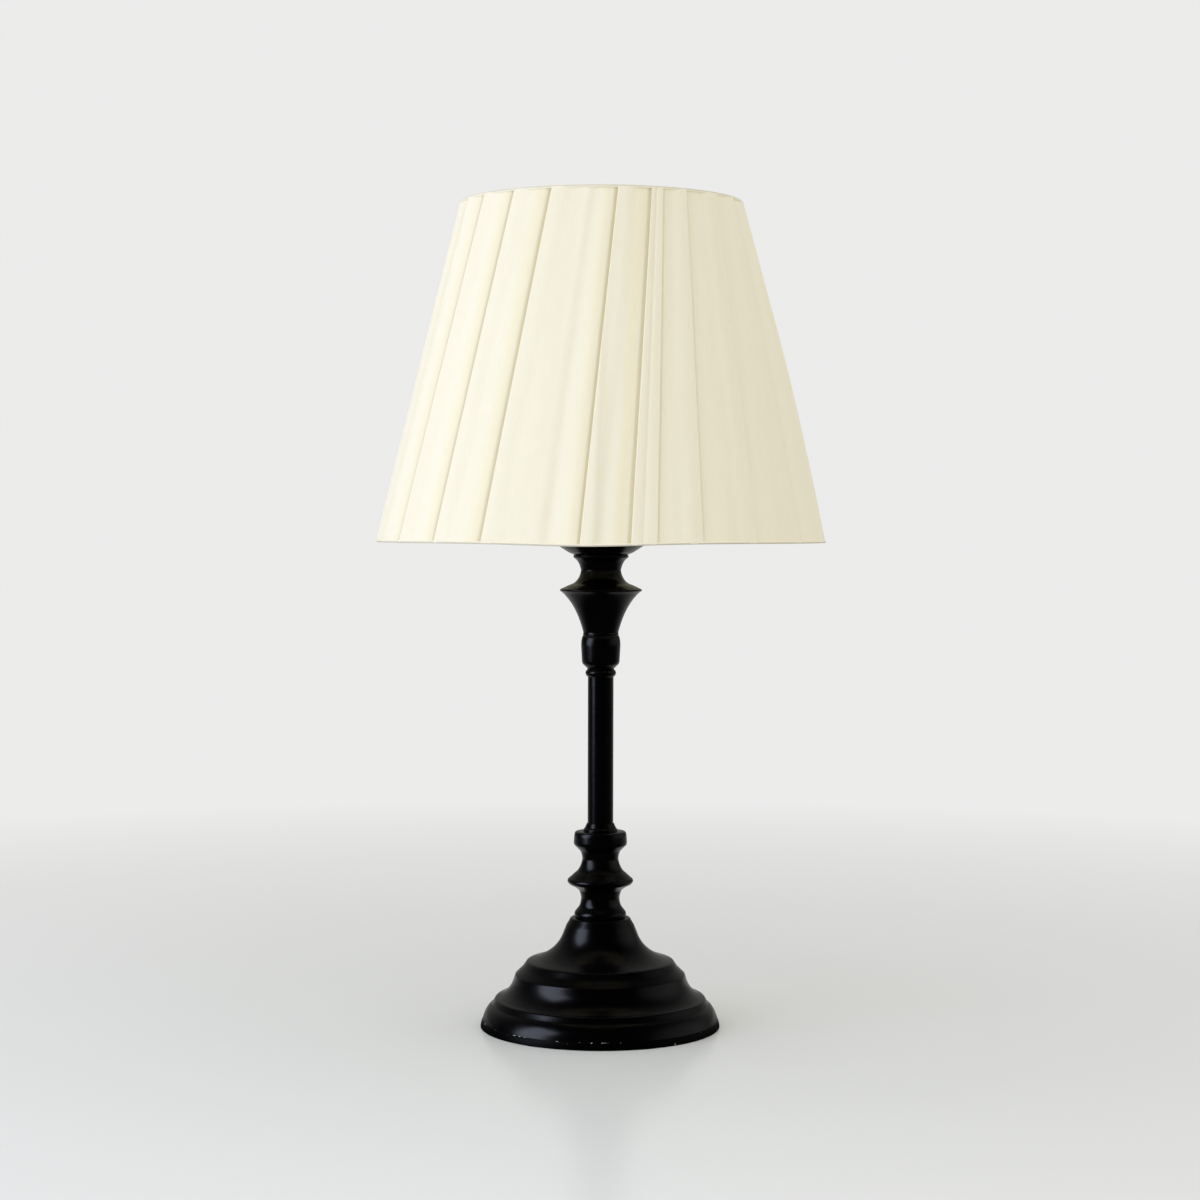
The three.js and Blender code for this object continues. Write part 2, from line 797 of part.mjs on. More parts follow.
// Rolled edge over a ring wire, as wide as the cloth layers that it closes
function edgeBinding(footHeight) {
  const top = footHeight + shade.bindingHeight;
  const round = shade.bindingRound;
  const outline = new Outline(shadeRadius(footHeight, liningInsideInset), footHeight)
    .to(shadeRadius(footHeight, round), footHeight)
    .to(shadeRadius(footHeight + round, 0), footHeight + round)
    .to(shadeRadius(top, 0), top)
    .to(shadeRadius(top, liningInsideInset), top);
  return turned(outline, shadeFacets);
}

// All folds round the shade: the front ones as seen, and even ones round the back
function allFolds() {
  const folds = [...frontFolds];
  const last = frontFolds[frontFolds.length - 1];
  const first = frontFolds[0];
  for (let i = 1; i < backStrips; i += 1) {
    const share = i / backStrips;
    folds.push(last.map((angle, edge) => angle + share * (first[edge] + 360 - angle)));
  }
  return folds;
}

// How high a strip lies above its foot, from 0 to 1, at a share of its width.
// Left of the top strip each strip's left edge lies on its neighbour, right of it the right edge.
function stripCrest(index, count, along) {
  const half = Math.floor((count - topStripIndex) / 2) + topStripIndex;
  if (index === topStripIndex) {
    return 1;
  }
  if (index === half) {
    return 0;
  }
  const rightEdgeOnTop = index > topStripIndex && index < half;
  return rightEdgeOnTop ? along : 1 - along;
}

// Angle at a share of the height on the straight line from the bottom edge to the top edge
function foldAngle(bottom, top, share) {
  const low = new THREE.Vector2(shadeRadius(clothFoot, 0), 0);
  const high = new THREE.Vector2(shadeRadius(clothTop, 0), 0);
  const centre = new THREE.Vector2();
  const turn = THREE.MathUtils.degToRad(top - bottom);
  const point = low.lerp(high.rotateAround(centre, turn), share);
  return bottom + THREE.MathUtils.radToDeg(Math.atan2(point.y, point.x));
}

// One row of (angle, crest) pairs round the shade, at a share of the height
function coverRow(share) {
  const folds = allFolds();
  const stripSteps = folds.map(([bottom], index) => {
    const next = index + 1 < folds.length ? folds[index + 1][0] : folds[0][0] + 360;
    return Math.ceil((next - bottom) / stripFacetAngle);
  });
  const angles = folds.map(([bottom, top]) => foldAngle(bottom, top, share));
  const row = [];
  angles.forEach((angle, index) => {
    const next = index + 1 < angles.length ? angles[index + 1] : angles[0] + 360;
    const width = next - angle - foldEdgeAngle;
    const steps = stripSteps[index];
    for (let i = 0; i <= steps; i += 1) {
      const along = i / steps;
      const crest = stripCrest(index, angles.length, along);
      row.push({ angle: angle + foldEdgeAngle / 2 + along * width, crest });
    }
  });
  return row;
}

// Pleated cover: a closed sleeve whose outside steps at every fold
function shadeCover() {
  const positions = [];
  const loops = [];
  function addLoop(share, outside) {
    const height = clothFoot + share * (clothTop - clothFoot);
    const loop = [];
    for (const { angle, crest } of coverRow(share)) {
      const inset = outside ? shade.foldHeight * (1 - crest) : coverInset;
      const radius = shadeRadius(height, inset);
      const turn = THREE.MathUtils.degToRad(angle);
      loop.push(positions.length / 3);
      positions.push(radius * Math.sin(turn), -radius * Math.cos(turn), height);
    }
    loops.push(loop);
  }
  for (let i = 0; i <= coverRows; i += 1) {
    addLoop(i / coverRows, true);
  }
  for (let i = coverRows; i >= 0; i -= 1) {
    addLoop(i / coverRows, false);
  }
  const faces = [];
  loops.forEach((loop, level) => {
    const above = loops[(level + 1) % loops.length];
    loop.forEach((corner, i) => {
      const j = (i + 1) % loop.length;
      faces.push(corner, loop[j], above[j]);
      faces.push(corner, above[j], above[i]);
    });
  });
  const geometry = new THREE.BufferGeometry();
  geometry.setAttribute("position", new THREE.Float32BufferAttribute(positions, 3));
  geometry.setIndex(faces);
  geometry.computeVertexNormals();
  return geometry;
}

// Bulb
const capFoot = bulbFoot + bulb.tipHeight + bulb.insulatorHeight;
const capTop = capFoot + bulb.capHeight;
const capInside = bulb.capRadius - bulb.capWall;
const neckRadius = capInside * Math.cos(Math.PI / columnFacets) - seatGap;
const neckFoot = capTop - bulb.neckHeight;
function bulbTip() {
  return ring(0, bulb.tipRadius, bulbFoot, bulbFoot + bulb.tipHeight, rodFacets);
}

function bulbInsulator() {
  const outline = new Outline(0, bulbFoot + bulb.tipHeight)
    .to(bulb.tipRadius + bulb.tipEdge, bulbFoot + bulb.tipHeight)
    .to(bulb.insulatorRadius, capFoot)
    .to(0, capFoot);
  return turned(outline, columnFacets);
}

// Thin cap, open at the top, whose foot turns in to the insulator
function bulbCap() {
  const footInside = bulb.insulatorRadius - bulb.capWall;
  const outline = new Outline(footInside, capFoot)
    .to(bulb.insulatorRadius, capFoot)
    .to(bulb.capRadius, capFoot + bulb.capTurnIn)
    .to(bulb.capRadius, capTop)
    .to(capInside, capTop)
    .to(capInside, capFoot + bulb.capTurnIn)
    .to(footInside, capFoot + bulb.capWall);
  return turned(outline, columnFacets);
}

// Candle-shaped envelope: the inside is the outside moved in by the glass, open at the neck
function envelopePoints(inset) {
  const outline = new Outline(neckRadius - inset, neckFoot)
    .by(0, 2 * bulb.neckHeight)
    .by(bulb.glassRadius - neckRadius, bulb.bellyHeight)
    .bendBy(-bulb.shoulder.inwards, bulb.shoulder.up, bulb.shoulder.bend);
  const pointRadius = bulb.point.radius - inset / 2;
  outline.bendBy(pointRadius - outline.radius, bulb.point.up - inset, bulb.point.bend);
  return outline.to(0, outline.height).points();
}

function bulbGlass() {
  const outside = envelopePoints(0);
  const inside = envelopePoints(bulb.glassWall).reverse();
  return turned([...outside, ...inside, outside[0].clone()], bulbFacets);
}

// Glass mount in the neck, narrowing to the pillar that carries the filaments
function bulbMount() {
  const footWide = (neckRadius - bulb.glassWall) * Math.cos(Math.PI / bulbFacets) - seatGap;
  const outline = new Outline(0, neckFoot)
    .to(footWide, neckFoot)
    .by(0, mount.footHeight)
    .to(mount.radius, neckFoot + mount.shoulderHeight)
    .to(mount.topRadius, neckFoot + mount.height)
    .to(0, neckFoot + mount.height);
  return turned(outline, rodFacets);
}

// The filaments stand close round the top of the pillar, and a wire ring joins their upper ends
const filamentFoot = neckFoot + mount.height - filament.overlap;
const filamentTop = filamentFoot + filament.length;
const pillarTaper = (mount.radius - mount.topRadius) / (mount.height - mount.shoulderHeight);
const filamentCircle = mount.topRadius + pillarTaper * filament.overlap + seatGap + filament.radius;
function bulbFilament(index) {
  const from = new THREE.Vector3(filamentCircle, 0, filamentFoot);
  const to = new THREE.Vector3(filamentCircle, 0, filamentTop);
  const stick = rodBetween(from, to, filament.radius, wireFacets);
  stick.rotateZ((2 * Math.PI * index) / filament.count);
  return stick;
}

function filamentBridge() {
  const low = filamentTop + seatGap;
  const inner = filamentCircle - filament.bridgeRadius;
  const outer = filamentCircle + filament.bridgeRadius;
  return ring(inner, outer, low, low + 2 * filament.bridgeRadius, rodFacets);
}

// Assembly
function named(name, geometry, material) {
  const mesh = new THREE.Mesh(geometry, material);
  mesh.name = name;
  return mesh;
}

const base = new THREE.Group();
base.add(
  named("foot_ring", footRing(), footBlack),
  named("base_pad", basePad(), padFelt),
  named("base_dome", baseDome(), blackPaint),
  named("cord_inlet", cordInlet(), blackPlastic),
  named("base_weight", baseWeight(), castIron),
  named("base_washer", baseWasher(), zincSteel),
  named("base_lock_washer", baseLockWasher(), zincSteel),
  named("base_nut", baseNut(), zincSteel),
);

const column = new THREE.Group();
column.add(
  named("stem_rod", stemRod(), zincSteel),
  named("lower_baluster", lowerBaluster(), blackPaint),
  named("lower_ferrule", lowerFerrule(), blackPaint),
  named("stem_tube", stemTube(), blackPaint),
  named("upper_bead", upperBead(), blackPaint),
  named("urn", turnedUrn(), blackPaint),
  named("drip_cup", dripCup(), blackPaint),
);

const lampholder = new THREE.Group();
lampholder.add(
  named("holder_cap", holderCap(), blackPlastic),
  named("cap_grub_screw", capGrubScrew(), zincSteel),
  named("holder_shell", holderShell(), blackPlastic),
  named("terminal_block", terminalBlock(), ceramic),
  named("terminal_screw_1", terminalScrew(-1), brass),
  named("terminal_screw_2", terminalScrew(1), brass),
  named("centre_contact", centreContact(), brass),
  named("screw_liner", threadedLiner(), brass),
  named("lower_shade_ring", threadedRing(lowerRingFoot, true), blackPlastic),
  named("upper_shade_ring", threadedRing(upperRingFoot, false), blackPlastic),
);

const shadeGroup = new THREE.Group();
shadeGroup.add(
  named("shade_gallery", shadeGallery(), whiteWire),
  named("frame_bottom_ring", wireRing(bottomWire), whiteWire),
  named("frame_top_ring", wireRing(topWire), whiteWire),
  named("shade_lining", shadeLining(), liningFabric),
  named("shade_cover", shadeCover(), ivoryFabric),
  named("bottom_binding", edgeBinding(shadeFoot), ivoryFabric),
  named("top_binding", edgeBinding(shadeTop - shade.bindingHeight), ivoryFabric),
);
for (let i = 0; i < shade.ribs; i += 1) {
  shadeGroup.add(named(`frame_rib_${i + 1}`, frameRib(i), whiteWire));
}

const bulbGroup = new THREE.Group();
bulbGroup.add(
  named("bulb_tip", bulbTip(), nickel),
  named("bulb_insulator", bulbInsulator(), darkInsulator),
  named("bulb_cap", bulbCap(), nickel),
  named("bulb_glass", bulbGlass(), glass),
  named("bulb_mount", bulbMount(), glass),
  named("filament_bridge", filamentBridge(), nickel),
);
for (let i = 0; i < filament.count; i += 1) {
  bulbGroup.add(named(`bulb_filament_${i + 1}`, bulbFilament(i), filamentYellow));
}

const lamp = new THREE.Group();
lamp.add(base, column, lampholder, shadeGroup, bulbGroup);

export default lamp;
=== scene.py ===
"""Looks of a table lamp: a turned black column under a shade of slanting cloth strips.

Everything is in metres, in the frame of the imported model: +Z is up and -Y is the front.
Sizes are written in millimetres where they are named, and times MM they become metres.
"""

import json
import math

import bpy
import numpy as np
from mathutils import Euler, Matrix, Vector

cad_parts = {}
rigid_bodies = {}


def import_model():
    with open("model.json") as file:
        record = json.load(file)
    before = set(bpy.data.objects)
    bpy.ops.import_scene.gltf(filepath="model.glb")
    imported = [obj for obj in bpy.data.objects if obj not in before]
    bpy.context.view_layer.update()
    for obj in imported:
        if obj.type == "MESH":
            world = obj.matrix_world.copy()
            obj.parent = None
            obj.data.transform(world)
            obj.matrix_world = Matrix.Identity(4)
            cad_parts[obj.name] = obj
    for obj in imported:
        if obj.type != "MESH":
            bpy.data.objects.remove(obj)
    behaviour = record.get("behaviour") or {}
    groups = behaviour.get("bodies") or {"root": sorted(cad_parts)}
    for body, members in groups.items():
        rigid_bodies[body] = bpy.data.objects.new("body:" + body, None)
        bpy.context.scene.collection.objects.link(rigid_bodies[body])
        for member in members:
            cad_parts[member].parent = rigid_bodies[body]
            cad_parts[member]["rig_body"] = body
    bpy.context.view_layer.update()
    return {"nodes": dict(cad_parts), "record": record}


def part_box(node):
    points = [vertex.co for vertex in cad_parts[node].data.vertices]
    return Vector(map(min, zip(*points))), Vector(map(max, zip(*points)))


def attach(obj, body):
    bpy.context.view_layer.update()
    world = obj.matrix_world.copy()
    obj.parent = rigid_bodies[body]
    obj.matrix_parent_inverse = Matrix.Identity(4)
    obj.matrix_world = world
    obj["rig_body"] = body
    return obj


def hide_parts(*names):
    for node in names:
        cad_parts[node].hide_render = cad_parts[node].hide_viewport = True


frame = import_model()
slot_of = {part["node"]: part["material_slot"] for part in frame["record"]["subparts"]}

MM = 0.001
SHARP_ANGLE = 38


def low_of(node):
    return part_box(node)[0].z


def high_of(node):
    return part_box(node)[1].z


def reach_of(node):
    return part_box(node)[1].x


def all_round(count):
    return np.linspace(0, 2 * math.pi, count, endpoint=False)


def eased(value):
    value = np.clip(value, 0, 1)
    return value * value * (3 - 2 * value)


def bell(value, middle, width):
    return np.exp(-(((value - middle) / width) ** 2))


# Camera: a long lens a little above half the lamp's height
CAMERA_PLACE = (-0.0005, -1.3453, 0.2813)
CAMERA_DOWN = 1.83
CAMERA_ROLL = 0.12
CAMERA_LENS = 72.49
CAMERA_SENSOR = 36


def make_camera():
    data = bpy.data.cameras.new("camera")
    data.lens = CAMERA_LENS
    data.sensor_width = CAMERA_SENSOR
    camera = bpy.data.objects.new("camera", data)
    camera.location = CAMERA_PLACE
    turn = Euler((math.radians(90 - CAMERA_DOWN), 0, 0)).to_matrix()
    roll = Matrix.Rotation(math.radians(CAMERA_ROLL), 3, "Z")
    camera.rotation_euler = (turn @ roll).to_euler()
    bpy.context.scene.collection.objects.link(camera)
    bpy.context.scene.camera = camera


# Light: a wide window on the left and even light from all round
BACKDROP = (0.835, 0.835, 0.83)
AMBIENT = (0.965, 0.95, 0.895)
# The room that gloss shows: dark, and paler from a share of the way round to each pale side
DARK_ROOM = (0.002, 0.002, 0.0025)
PALE_ROOM = (0.36, 0.355, 0.345)
PALE_TOWARDS = (0, 0.8, 0.6)
PALE_FROM = 0.25
SIDE_ROOM = (0.95, 0.94, 0.92)
SIDE_TOWARDS = (0.995, -0.03, 0.09)
SIDE_FROM = 0.7
# Where each window stands as seen from the lamp, in degrees and metres, and how bright it is
WINDOW_TARGET = Vector((0, 0, 0.2))
KEY = {
    "azimuth": -57,
    "elevation": 14,
    "lean": 0,
    "distance": 1.3,
    "size": (1.1, 0.85),
    "radiance": 2.15,
    "color": (0.61, 0.72, 1.0),
}
GLEAM = {
    "azimuth": -68,
    "elevation": 16,
    "lean": -22,
    "distance": 1.4,
    "size": (0.75, 1.0),
    "radiance": 13,
    "color": (0.74, 0.79, 1.0),
}


def make_window(name, azimuth, elevation, lean, distance, size, radiance, color):
    """Rectangle of light that faces the lamp."""
    data = bpy.data.lights.new(name, "AREA")
    data.shape = "RECTANGLE"
    data.size, data.size_y = size
    data.energy = radiance * math.pi * size[0] * size[1]
    data.color = color
    turn, rise = math.radians(azimuth), math.radians(elevation)
    level = math.cos(rise)
    towards = Vector((math.sin(turn) * level, -math.cos(turn) * level, math.sin(rise)))
    facing = towards.to_track_quat("Z", "Y").to_matrix()
    leaning = Matrix.Rotation(math.radians(lean), 3, "Z")
    light = bpy.data.objects.new(name, data)
    light.location = WINDOW_TARGET + distance * towards
    light.rotation_euler = (facing @ leaning).to_euler()
    bpy.context.scene.collection.objects.link(light)
    return light


def make_lights():
    """The window lights the lamp evenly, and its bright panes show in the gloss alone."""
    key = make_window("key", **KEY)
    key.visible_glossy = False
    gleam = make_window("gleam", **GLEAM)
    gleam.visible_diffuse = False
    gleam.visible_transmission = False
    return gleam


def make_world():
    """The camera sees a pale backdrop, cloth an even room, and gloss a dark one with pale sides."""
    world = bpy.data.worlds.new("studio")
    bpy.context.scene.world = world
    world.use_nodes = True
    tree = Tree(world.node_tree)

    def facing(direction, start):
        place = tree.node("ShaderNodeTexCoord", {}, output="Generated")
        inputs = {0: place, 1: direction}
        towards = tree.node("ShaderNodeVectorMath", inputs, output="Value", operation="DOT_PRODUCT")
        return tree.ranged(towards, start, 1, interpolation_type="SMOOTHSTEP")

    gloss = tree.mixed(facing(PALE_TOWARDS, PALE_FROM), DARK_ROOM, PALE_ROOM)
    gloss = tree.mixed(facing(SIDE_TOWARDS, SIDE_FROM), gloss, SIDE_ROOM)
    seen = tree.mixed(tree.is_ray("Glossy"), AMBIENT, gloss)
    for kind in ("Transmission", "Camera"):
        seen = tree.mixed(tree.is_ray(kind), seen, BACKDROP)
    tree.link(seen, world.node_tree.nodes["Background"].inputs["Color"])


# Outlines: lists of steps from the bottom up, in the (radius, height) plane
CURVE_POINTS = 20
SOFT_CORNER = 0.28 * MM
SOFT_STEP = 0.08 * MM
KEPT_TURN = 3
KEPT_LENGTH = 2.5 * MM
LEAST_SPANS = 8
# Points nearer the axis than this are on it
ON_AXIS = 1e-7


def step(outwards, up, amount=0, rise=0):
    """Step of an outline, in metres.

    An amount of 1 bends it from upwards to level and one of -1 from level to upwards, and a rise
    bulges it out.
    """
    return (outwards, up, amount, rise)


def line(outwards, up):
    return step(outwards * MM, up * MM)


def bend(outwards, up, amount):
    return step(outwards * MM, up * MM, amount)


def bead(rise, up):
    return step(0, up * MM, rise=rise * MM)


def draw(radius, height, steps):
    """Points of an outline from its foot on; line, bend and bead give its steps in millimetres."""
    points = [np.array((radius, height))]
    share = np.linspace(0, 1, CURVE_POINTS + 1)[1:, None]
    for outwards, up, amount, rise in steps:
        start = points[-1]
        end = start + (outwards, up)
        if amount or rise:
            lean = (-amount * outwards / 2 + 2 * rise, amount * up / 2)
            control = (start + end) / 2 + lean
            curve = (1 - share) ** 2 * start + 2 * share * (1 - share) * control + share**2 * end
            points.extend(curve)
        else:
            points.append(end)
    return np.array(points)


def softened(points, corner=SOFT_CORNER):
    """The same line with its corners rounded and its ends kept, and no more points than it needs."""
    lengths = np.linalg.norm(np.diff(points, axis=0), axis=1)
    along = np.concatenate([[0], np.cumsum(lengths)])
    even = np.linspace(0, along[-1], max(LEAST_SPANS, round(along[-1] / SOFT_STEP)))
    fine = np.stack([np.interp(even, along, points[:, axis]) for axis in (0, 1)], axis=1)
    reach = min(round(3 * corner / SOFT_STEP), len(fine) - 1)
    weights = np.exp(-0.5 * (np.arange(-reach, reach + 1) * SOFT_STEP / corner) ** 2)
    weights /= weights.sum()
    before = 2 * fine[0] - fine[reach:0:-1]
    after = 2 * fine[-1] - fine[-2 : -reach - 2 : -1]
    padded = np.concatenate([before, fine, after])
    smooth = np.stack([np.convolve(padded[:, axis], weights, "valid") for axis in (0, 1)], axis=1)
    return thinned(smooth)


def thinned(points):
    """The points where the line has turned or run far enough since the last one kept."""
    steps = np.diff(points, axis=0)
    headings = np.unwrap(np.arctan2(steps[:, 1], steps[:, 0]))
    kept = [0]
    for i in range(1, len(points) - 1):
        turned = abs(headings[i] - headings[kept[-1]])
        gone = np.linalg.norm(points[i] - points[kept[-1]])
        if turned > math.radians(KEPT_TURN) or gone > KEPT_LENGTH:
            kept.append(i)
    return points[[*kept, len(points) - 1]]


# Meshes
def add_piece(name, points, faces, nodes, sharp=SHARP_ANGLE):
    """New piece that stands for CAD nodes and rides on their body."""
    mesh = bpy.data.meshes.new(name)
    mesh.from_pydata([tuple(point) for point in points], [], faces)
    mesh.materials.append(finish_of(nodes[0]))
    mesh.shade_smooth()
    mesh.set_sharp_from_angle(angle=math.radians(sharp))
    piece = bpy.data.objects.new(name, mesh)
    bpy.context.scene.collection.objects.link(piece)
    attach(piece, frame["nodes"][nodes[0]]["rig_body"])
    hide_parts(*nodes)
    return piece


def lathe_mesh(outline, segments, thread=None):
    """Points and faces of an outline turned about the Z axis; it ends on the axis or closes."""
    outline = np.asarray(outline, float)
    angles = all_round(segments)
    points, rings = [], []
    for radius, height in outline:
        if radius < ON_AXIS:
            rings.append([len(points)] * segments)
            points.append((0, 0, height))
            continue
        rings.append(list(range(len(points), len(points) + segments)))
        radii = radius if thread is None else radius + thread(angles, radius, height)
        wide = np.broadcast_to(radii, angles.shape)
        points.extend(zip(wide * np.cos(angles), wide * np.sin(angles), [height] * segments))
    on_axis = max(outline[0][0], outline[-1][0]) < ON_AXIS
    pairs = len(rings) - 1 if on_axis else len(rings)
    faces = []
    for i in range(pairs):
        low, high = rings[i], rings[(i + 1) % len(rings)]
        for k in range(segments):
            corners = (low[k], low[(k + 1) % segments], high[(k + 1) % segments], high[k])
            face = tuple(dict.fromkeys(corners))
            if len(face) > 2:
                faces.append(face)
    return points, faces


def lathe(node, outline, segments, thread=None):
    points, faces = lathe_mesh(outline, segments, thread)
    return add_piece(f"{node}_fine", points, faces, [node])


def disc_outline(low, high, radius, corner):
    """Solid disc or rod about the axis, with rounded edges."""
    outline = softened(np.array([(0, low), (radius, low), (radius, high), (0, high)]), corner)
    outline[[0, -1], 0] = 0
    return outline


def tube_faces(rings, sides, closed=False):
    """Faces through rings of points; the tube ends in two caps or closes on itself."""
    faces = []
    for i in range(rings if closed else rings - 1):
        low, high = i * sides, (i + 1) % rings * sides
        for k in range(sides):
            ahead = (k + 1) % sides
            faces.append((low + k, low + ahead, high + ahead, high + k))
    if not closed:
        faces.append(tuple(range(sides))[::-1])
        faces.append(tuple(range((rings - 1) * sides, rings * sides)))
    return faces


def sheet_faces(rows, columns, around=False):
    """Faces of cloth: an outer and an inner grid of points, joined along their rims."""
    inner = rows * columns
    grid = np.arange(inner).reshape(rows, columns)
    if around:
        grid = np.hstack([grid, grid[:, :1]])
    corners = (grid[:-1, :-1], grid[:-1, 1:], grid[1:, 1:], grid[1:, :-1])
    outer = np.stack(corners, axis=-1).reshape(-1, 4)
    faces = [*outer.tolist(), *(outer[:, ::-1] + inner).tolist()]
    rims = [grid[0, ::-1], grid[-1]]
    if not around:
        rims += [grid[:, 0], grid[::-1, -1]]
    for rim in rims:
        ends = rim[:-1], rim[1:], rim[1:] + inner, rim[:-1] + inner
        faces.extend(np.stack(ends, axis=-1).tolist())
    return faces


def points_of(piece):
    return np.array([vertex.co for vertex in piece.data.vertices])


def set_attribute(mesh, name, values):
    attribute = mesh.attributes.new(name, "FLOAT", "POINT")
    attribute.data.foreach_set("value", np.asarray(values, np.float32).ravel())


def set_uv(mesh, per_point):
    layer = mesh.uv_layers.new(name="UVMap")
    corners = np.zeros(len(mesh.loops), np.int32)
    mesh.loops.foreach_get("vertex_index", corners)
    layer.data.foreach_set("uv", per_point[corners].astype(np.float32).ravel())


# Finishes
class Tree:
    """Short ways to add nodes to a shader tree."""

    def __init__(self, tree):
        self.tree = tree

    def node(self, kind, inputs, output=0, **settings):
        node = self.tree.nodes.new(kind)
        for key, value in settings.items():
            setattr(node, key, value)
        for key, value in inputs.items():
            if isinstance(value, bpy.types.NodeSocket):
                self.link(value, node.inputs[key])
            else:
                node.inputs[key].default_value = value
        return node.outputs[output]

    def link(self, output, target):
        self.tree.links.new(output, target)

    def is_ray(self, kind):
        return self.node("ShaderNodeLightPath", {}, output=f"Is {kind} Ray")

    def place(self, scale=(1, 1, 1), kind="Object"):
        coordinates = self.node("ShaderNodeTexCoord", {}, output=kind)
        return self.node("ShaderNodeMapping", {"Vector": coordinates, "Scale": scale})

    def noise(self, scale, detail=2, stretch=(1, 1, 1), kind="Object"):
        inputs = {"Vector": self.place(stretch, kind), "Scale": scale, "Detail": detail}
        return self.node("ShaderNodeTexNoise", inputs)

    def attribute(self, name):
        return self.node("ShaderNodeAttribute", {}, output="Fac", attribute_name=name)

    def ranged(self, value, low, high, to_low=0, to_high=1, **settings):
        names = ("Value", "From Min", "From Max", "To Min", "To Max")
        inputs = dict(zip(names, (value, low, high, to_low, to_high)))
        return self.node("ShaderNodeMapRange", inputs, **settings)

    def times(self, first, second):
        return self.node("ShaderNodeMath", {0: first, 1: second}, operation="MULTIPLY")

    def plus(self, first, second):
        return self.node("ShaderNodeMath", {0: first, 1: second}, operation="ADD")

    def mixed(self, factor, first, second, blend="MIX"):
        inputs = {"Factor": factor}
        for key, value in ((6, first), (7, second)):
            inputs[key] = value if isinstance(value, bpy.types.NodeSocket) else (*value, 1)
        return self.node("ShaderNodeMix", inputs, output=2, data_type="RGBA", blend_type=blend)


class Finish(Tree):
    """Material round one Principled shader."""

    def __init__(self, name, color, roughness, **sockets):
        self.material = bpy.data.materials.new(name)
        self.material.use_nodes = True
        super().__init__(self.material.node_tree)
        self.shader = self.tree.nodes["Principled BSDF"]
        self.shader.inputs["Base Color"].default_value = (*color, 1)
        self.shader.inputs["Roughness"].default_value = roughness
        for socket, value in sockets.items():
            self.shader.inputs[socket.replace("_", " ")].default_value = value
        self.normal = None

    def color(self, socket):
        self.link(socket, self.shader.inputs["Base Color"])

    def roughness(self, socket):
        self.link(socket, self.shader.inputs["Roughness"])

    def bump(self, height, strength, distance):
        inputs = {"Height": height, "Strength": strength, "Distance": distance}
        if self.normal is not None:
            inputs["Normal"] = self.normal
        self.normal = self.node("ShaderNodeBump", inputs)
        self.link(self.normal, self.shader.inputs["Normal"])


def black_paint():
    """Satin paint: faint turning rings under it, a fine orange peel and cloudy gloss."""
    finish = Finish("black_paint", (0.001, 0.001, 0.001), 0.3, Specular_IOR_Level=0.09)
    cloud = finish.noise(38, detail=3)
    finish.color(finish.mixed(cloud, (0.0002, 0.0002, 0.0003), (0.0007, 0.0007, 0.0008)))
    finish.roughness(finish.ranged(cloud, 0.3, 0.7, 0.2, 0.28))
    finish.bump(finish.noise(1, detail=1, stretch=(25, 25, 1400)), 0.12, 0.02 * MM)
    finish.bump(finish.noise(850, detail=1), 0.1, 0.02 * MM)
    return finish.material


# How much of the wear adds to the spots, and the levels between which paint turns to a chip
CHIP_WEAR = 0.16
CHIP_START = 0.745
CHIP_FULL = 0.775


def foot_black():
    """Plain black edge with small pale chips where it has been knocked."""
    finish = Finish("foot_black", (0.001, 0.001, 0.001), 0.5, Specular_IOR_Level=0.02)
    spots = finish.noise(420, detail=3)
    worn = finish.plus(spots, finish.times(finish.attribute("wear"), CHIP_WEAR))
    chipped = finish.ranged(worn, CHIP_START, CHIP_FULL)
    finish.color(finish.mixed(chipped, (0.0004, 0.0004, 0.0004), (0.5, 0.48, 0.45)))
    finish.roughness(finish.ranged(chipped, 0, 1, 0.4, 0.8))
    finish.bump(finish.noise(600, detail=2), 0.15, 0.03 * MM)
    return finish.material


# Weave and lie of the cloth, per metre across and along, and the tints of its painted light and shade
# and of its paler band
WEAVE_SCALE = 380
SLUB_STRETCH = (1500, 90, 1)
CLOUD_STRETCH = (70, 24, 1)
WARM_GLOW_TINT = (1.0, 0.985, 0.90)
PALE_BAND_COLOR = (0.985, 0.945, 0.79)
EDGE_SHADE_TINT = (0.5, 0.5, 0.5)


def cloth(name, pale, deep, fold_shade_tint):
    """Fine plain weave with slubs, with painted shade beside folds and along the bindings' edges, a
    painted yellowish glow beside covered folds, and a paler band there.
    """
    finish = Finish(name, pale, 0.88, Sheen_Weight=0.15, Sheen_Roughness=0.5, Specular_IOR_Level=0.2)
    slubs = finish.noise(1, detail=3, stretch=SLUB_STRETCH, kind="UV")
    clouds = finish.noise(1, detail=2, stretch=CLOUD_STRETCH, kind="UV")
    color = finish.mixed(finish.ranged(slubs, 0.3, 0.7), pale, deep)
    color = finish.mixed(finish.ranged(clouds, 0.35, 0.7, 0, 0.5), color, deep)
    # Painted light and shade: a yellowish glow and a darker tint beside folds, and a dark line along the
    # bindings' edges; also a paler band beside covered folds
    color = finish.mixed(finish.attribute("painted_glow"), color, WARM_GLOW_TINT, "MULTIPLY")
    color = finish.mixed(finish.attribute("pale_band"), color, PALE_BAND_COLOR)
    color = finish.mixed(finish.attribute("fold"), color, fold_shade_tint, "MULTIPLY")
    finish.color(finish.mixed(finish.attribute("edge"), color, EDGE_SHADE_TINT, "MULTIPLY"))
    threads = {"Vector": finish.place(kind="UV"), "Scale": WEAVE_SCALE, "Distortion": 0.6, "Detail": 1}
    weave = [
        finish.node("ShaderNodeTexWave", threads, output="Fac", bands_direction=direction)
        for direction in ("X", "Y")
    ]
    finish.bump(finish.times(*weave), 0.25, 0.05 * MM)
    finish.bump(slubs, 0.3, 0.05 * MM)
    return finish.material


# Painted glow: faint emission of the lining that stands in for daylight coming through the shade
DAYLIGHT_GLOW_COLOR = (1.0, 0.93, 0.5)
DAYLIGHT_GLOW_STRENGTH = 0.03


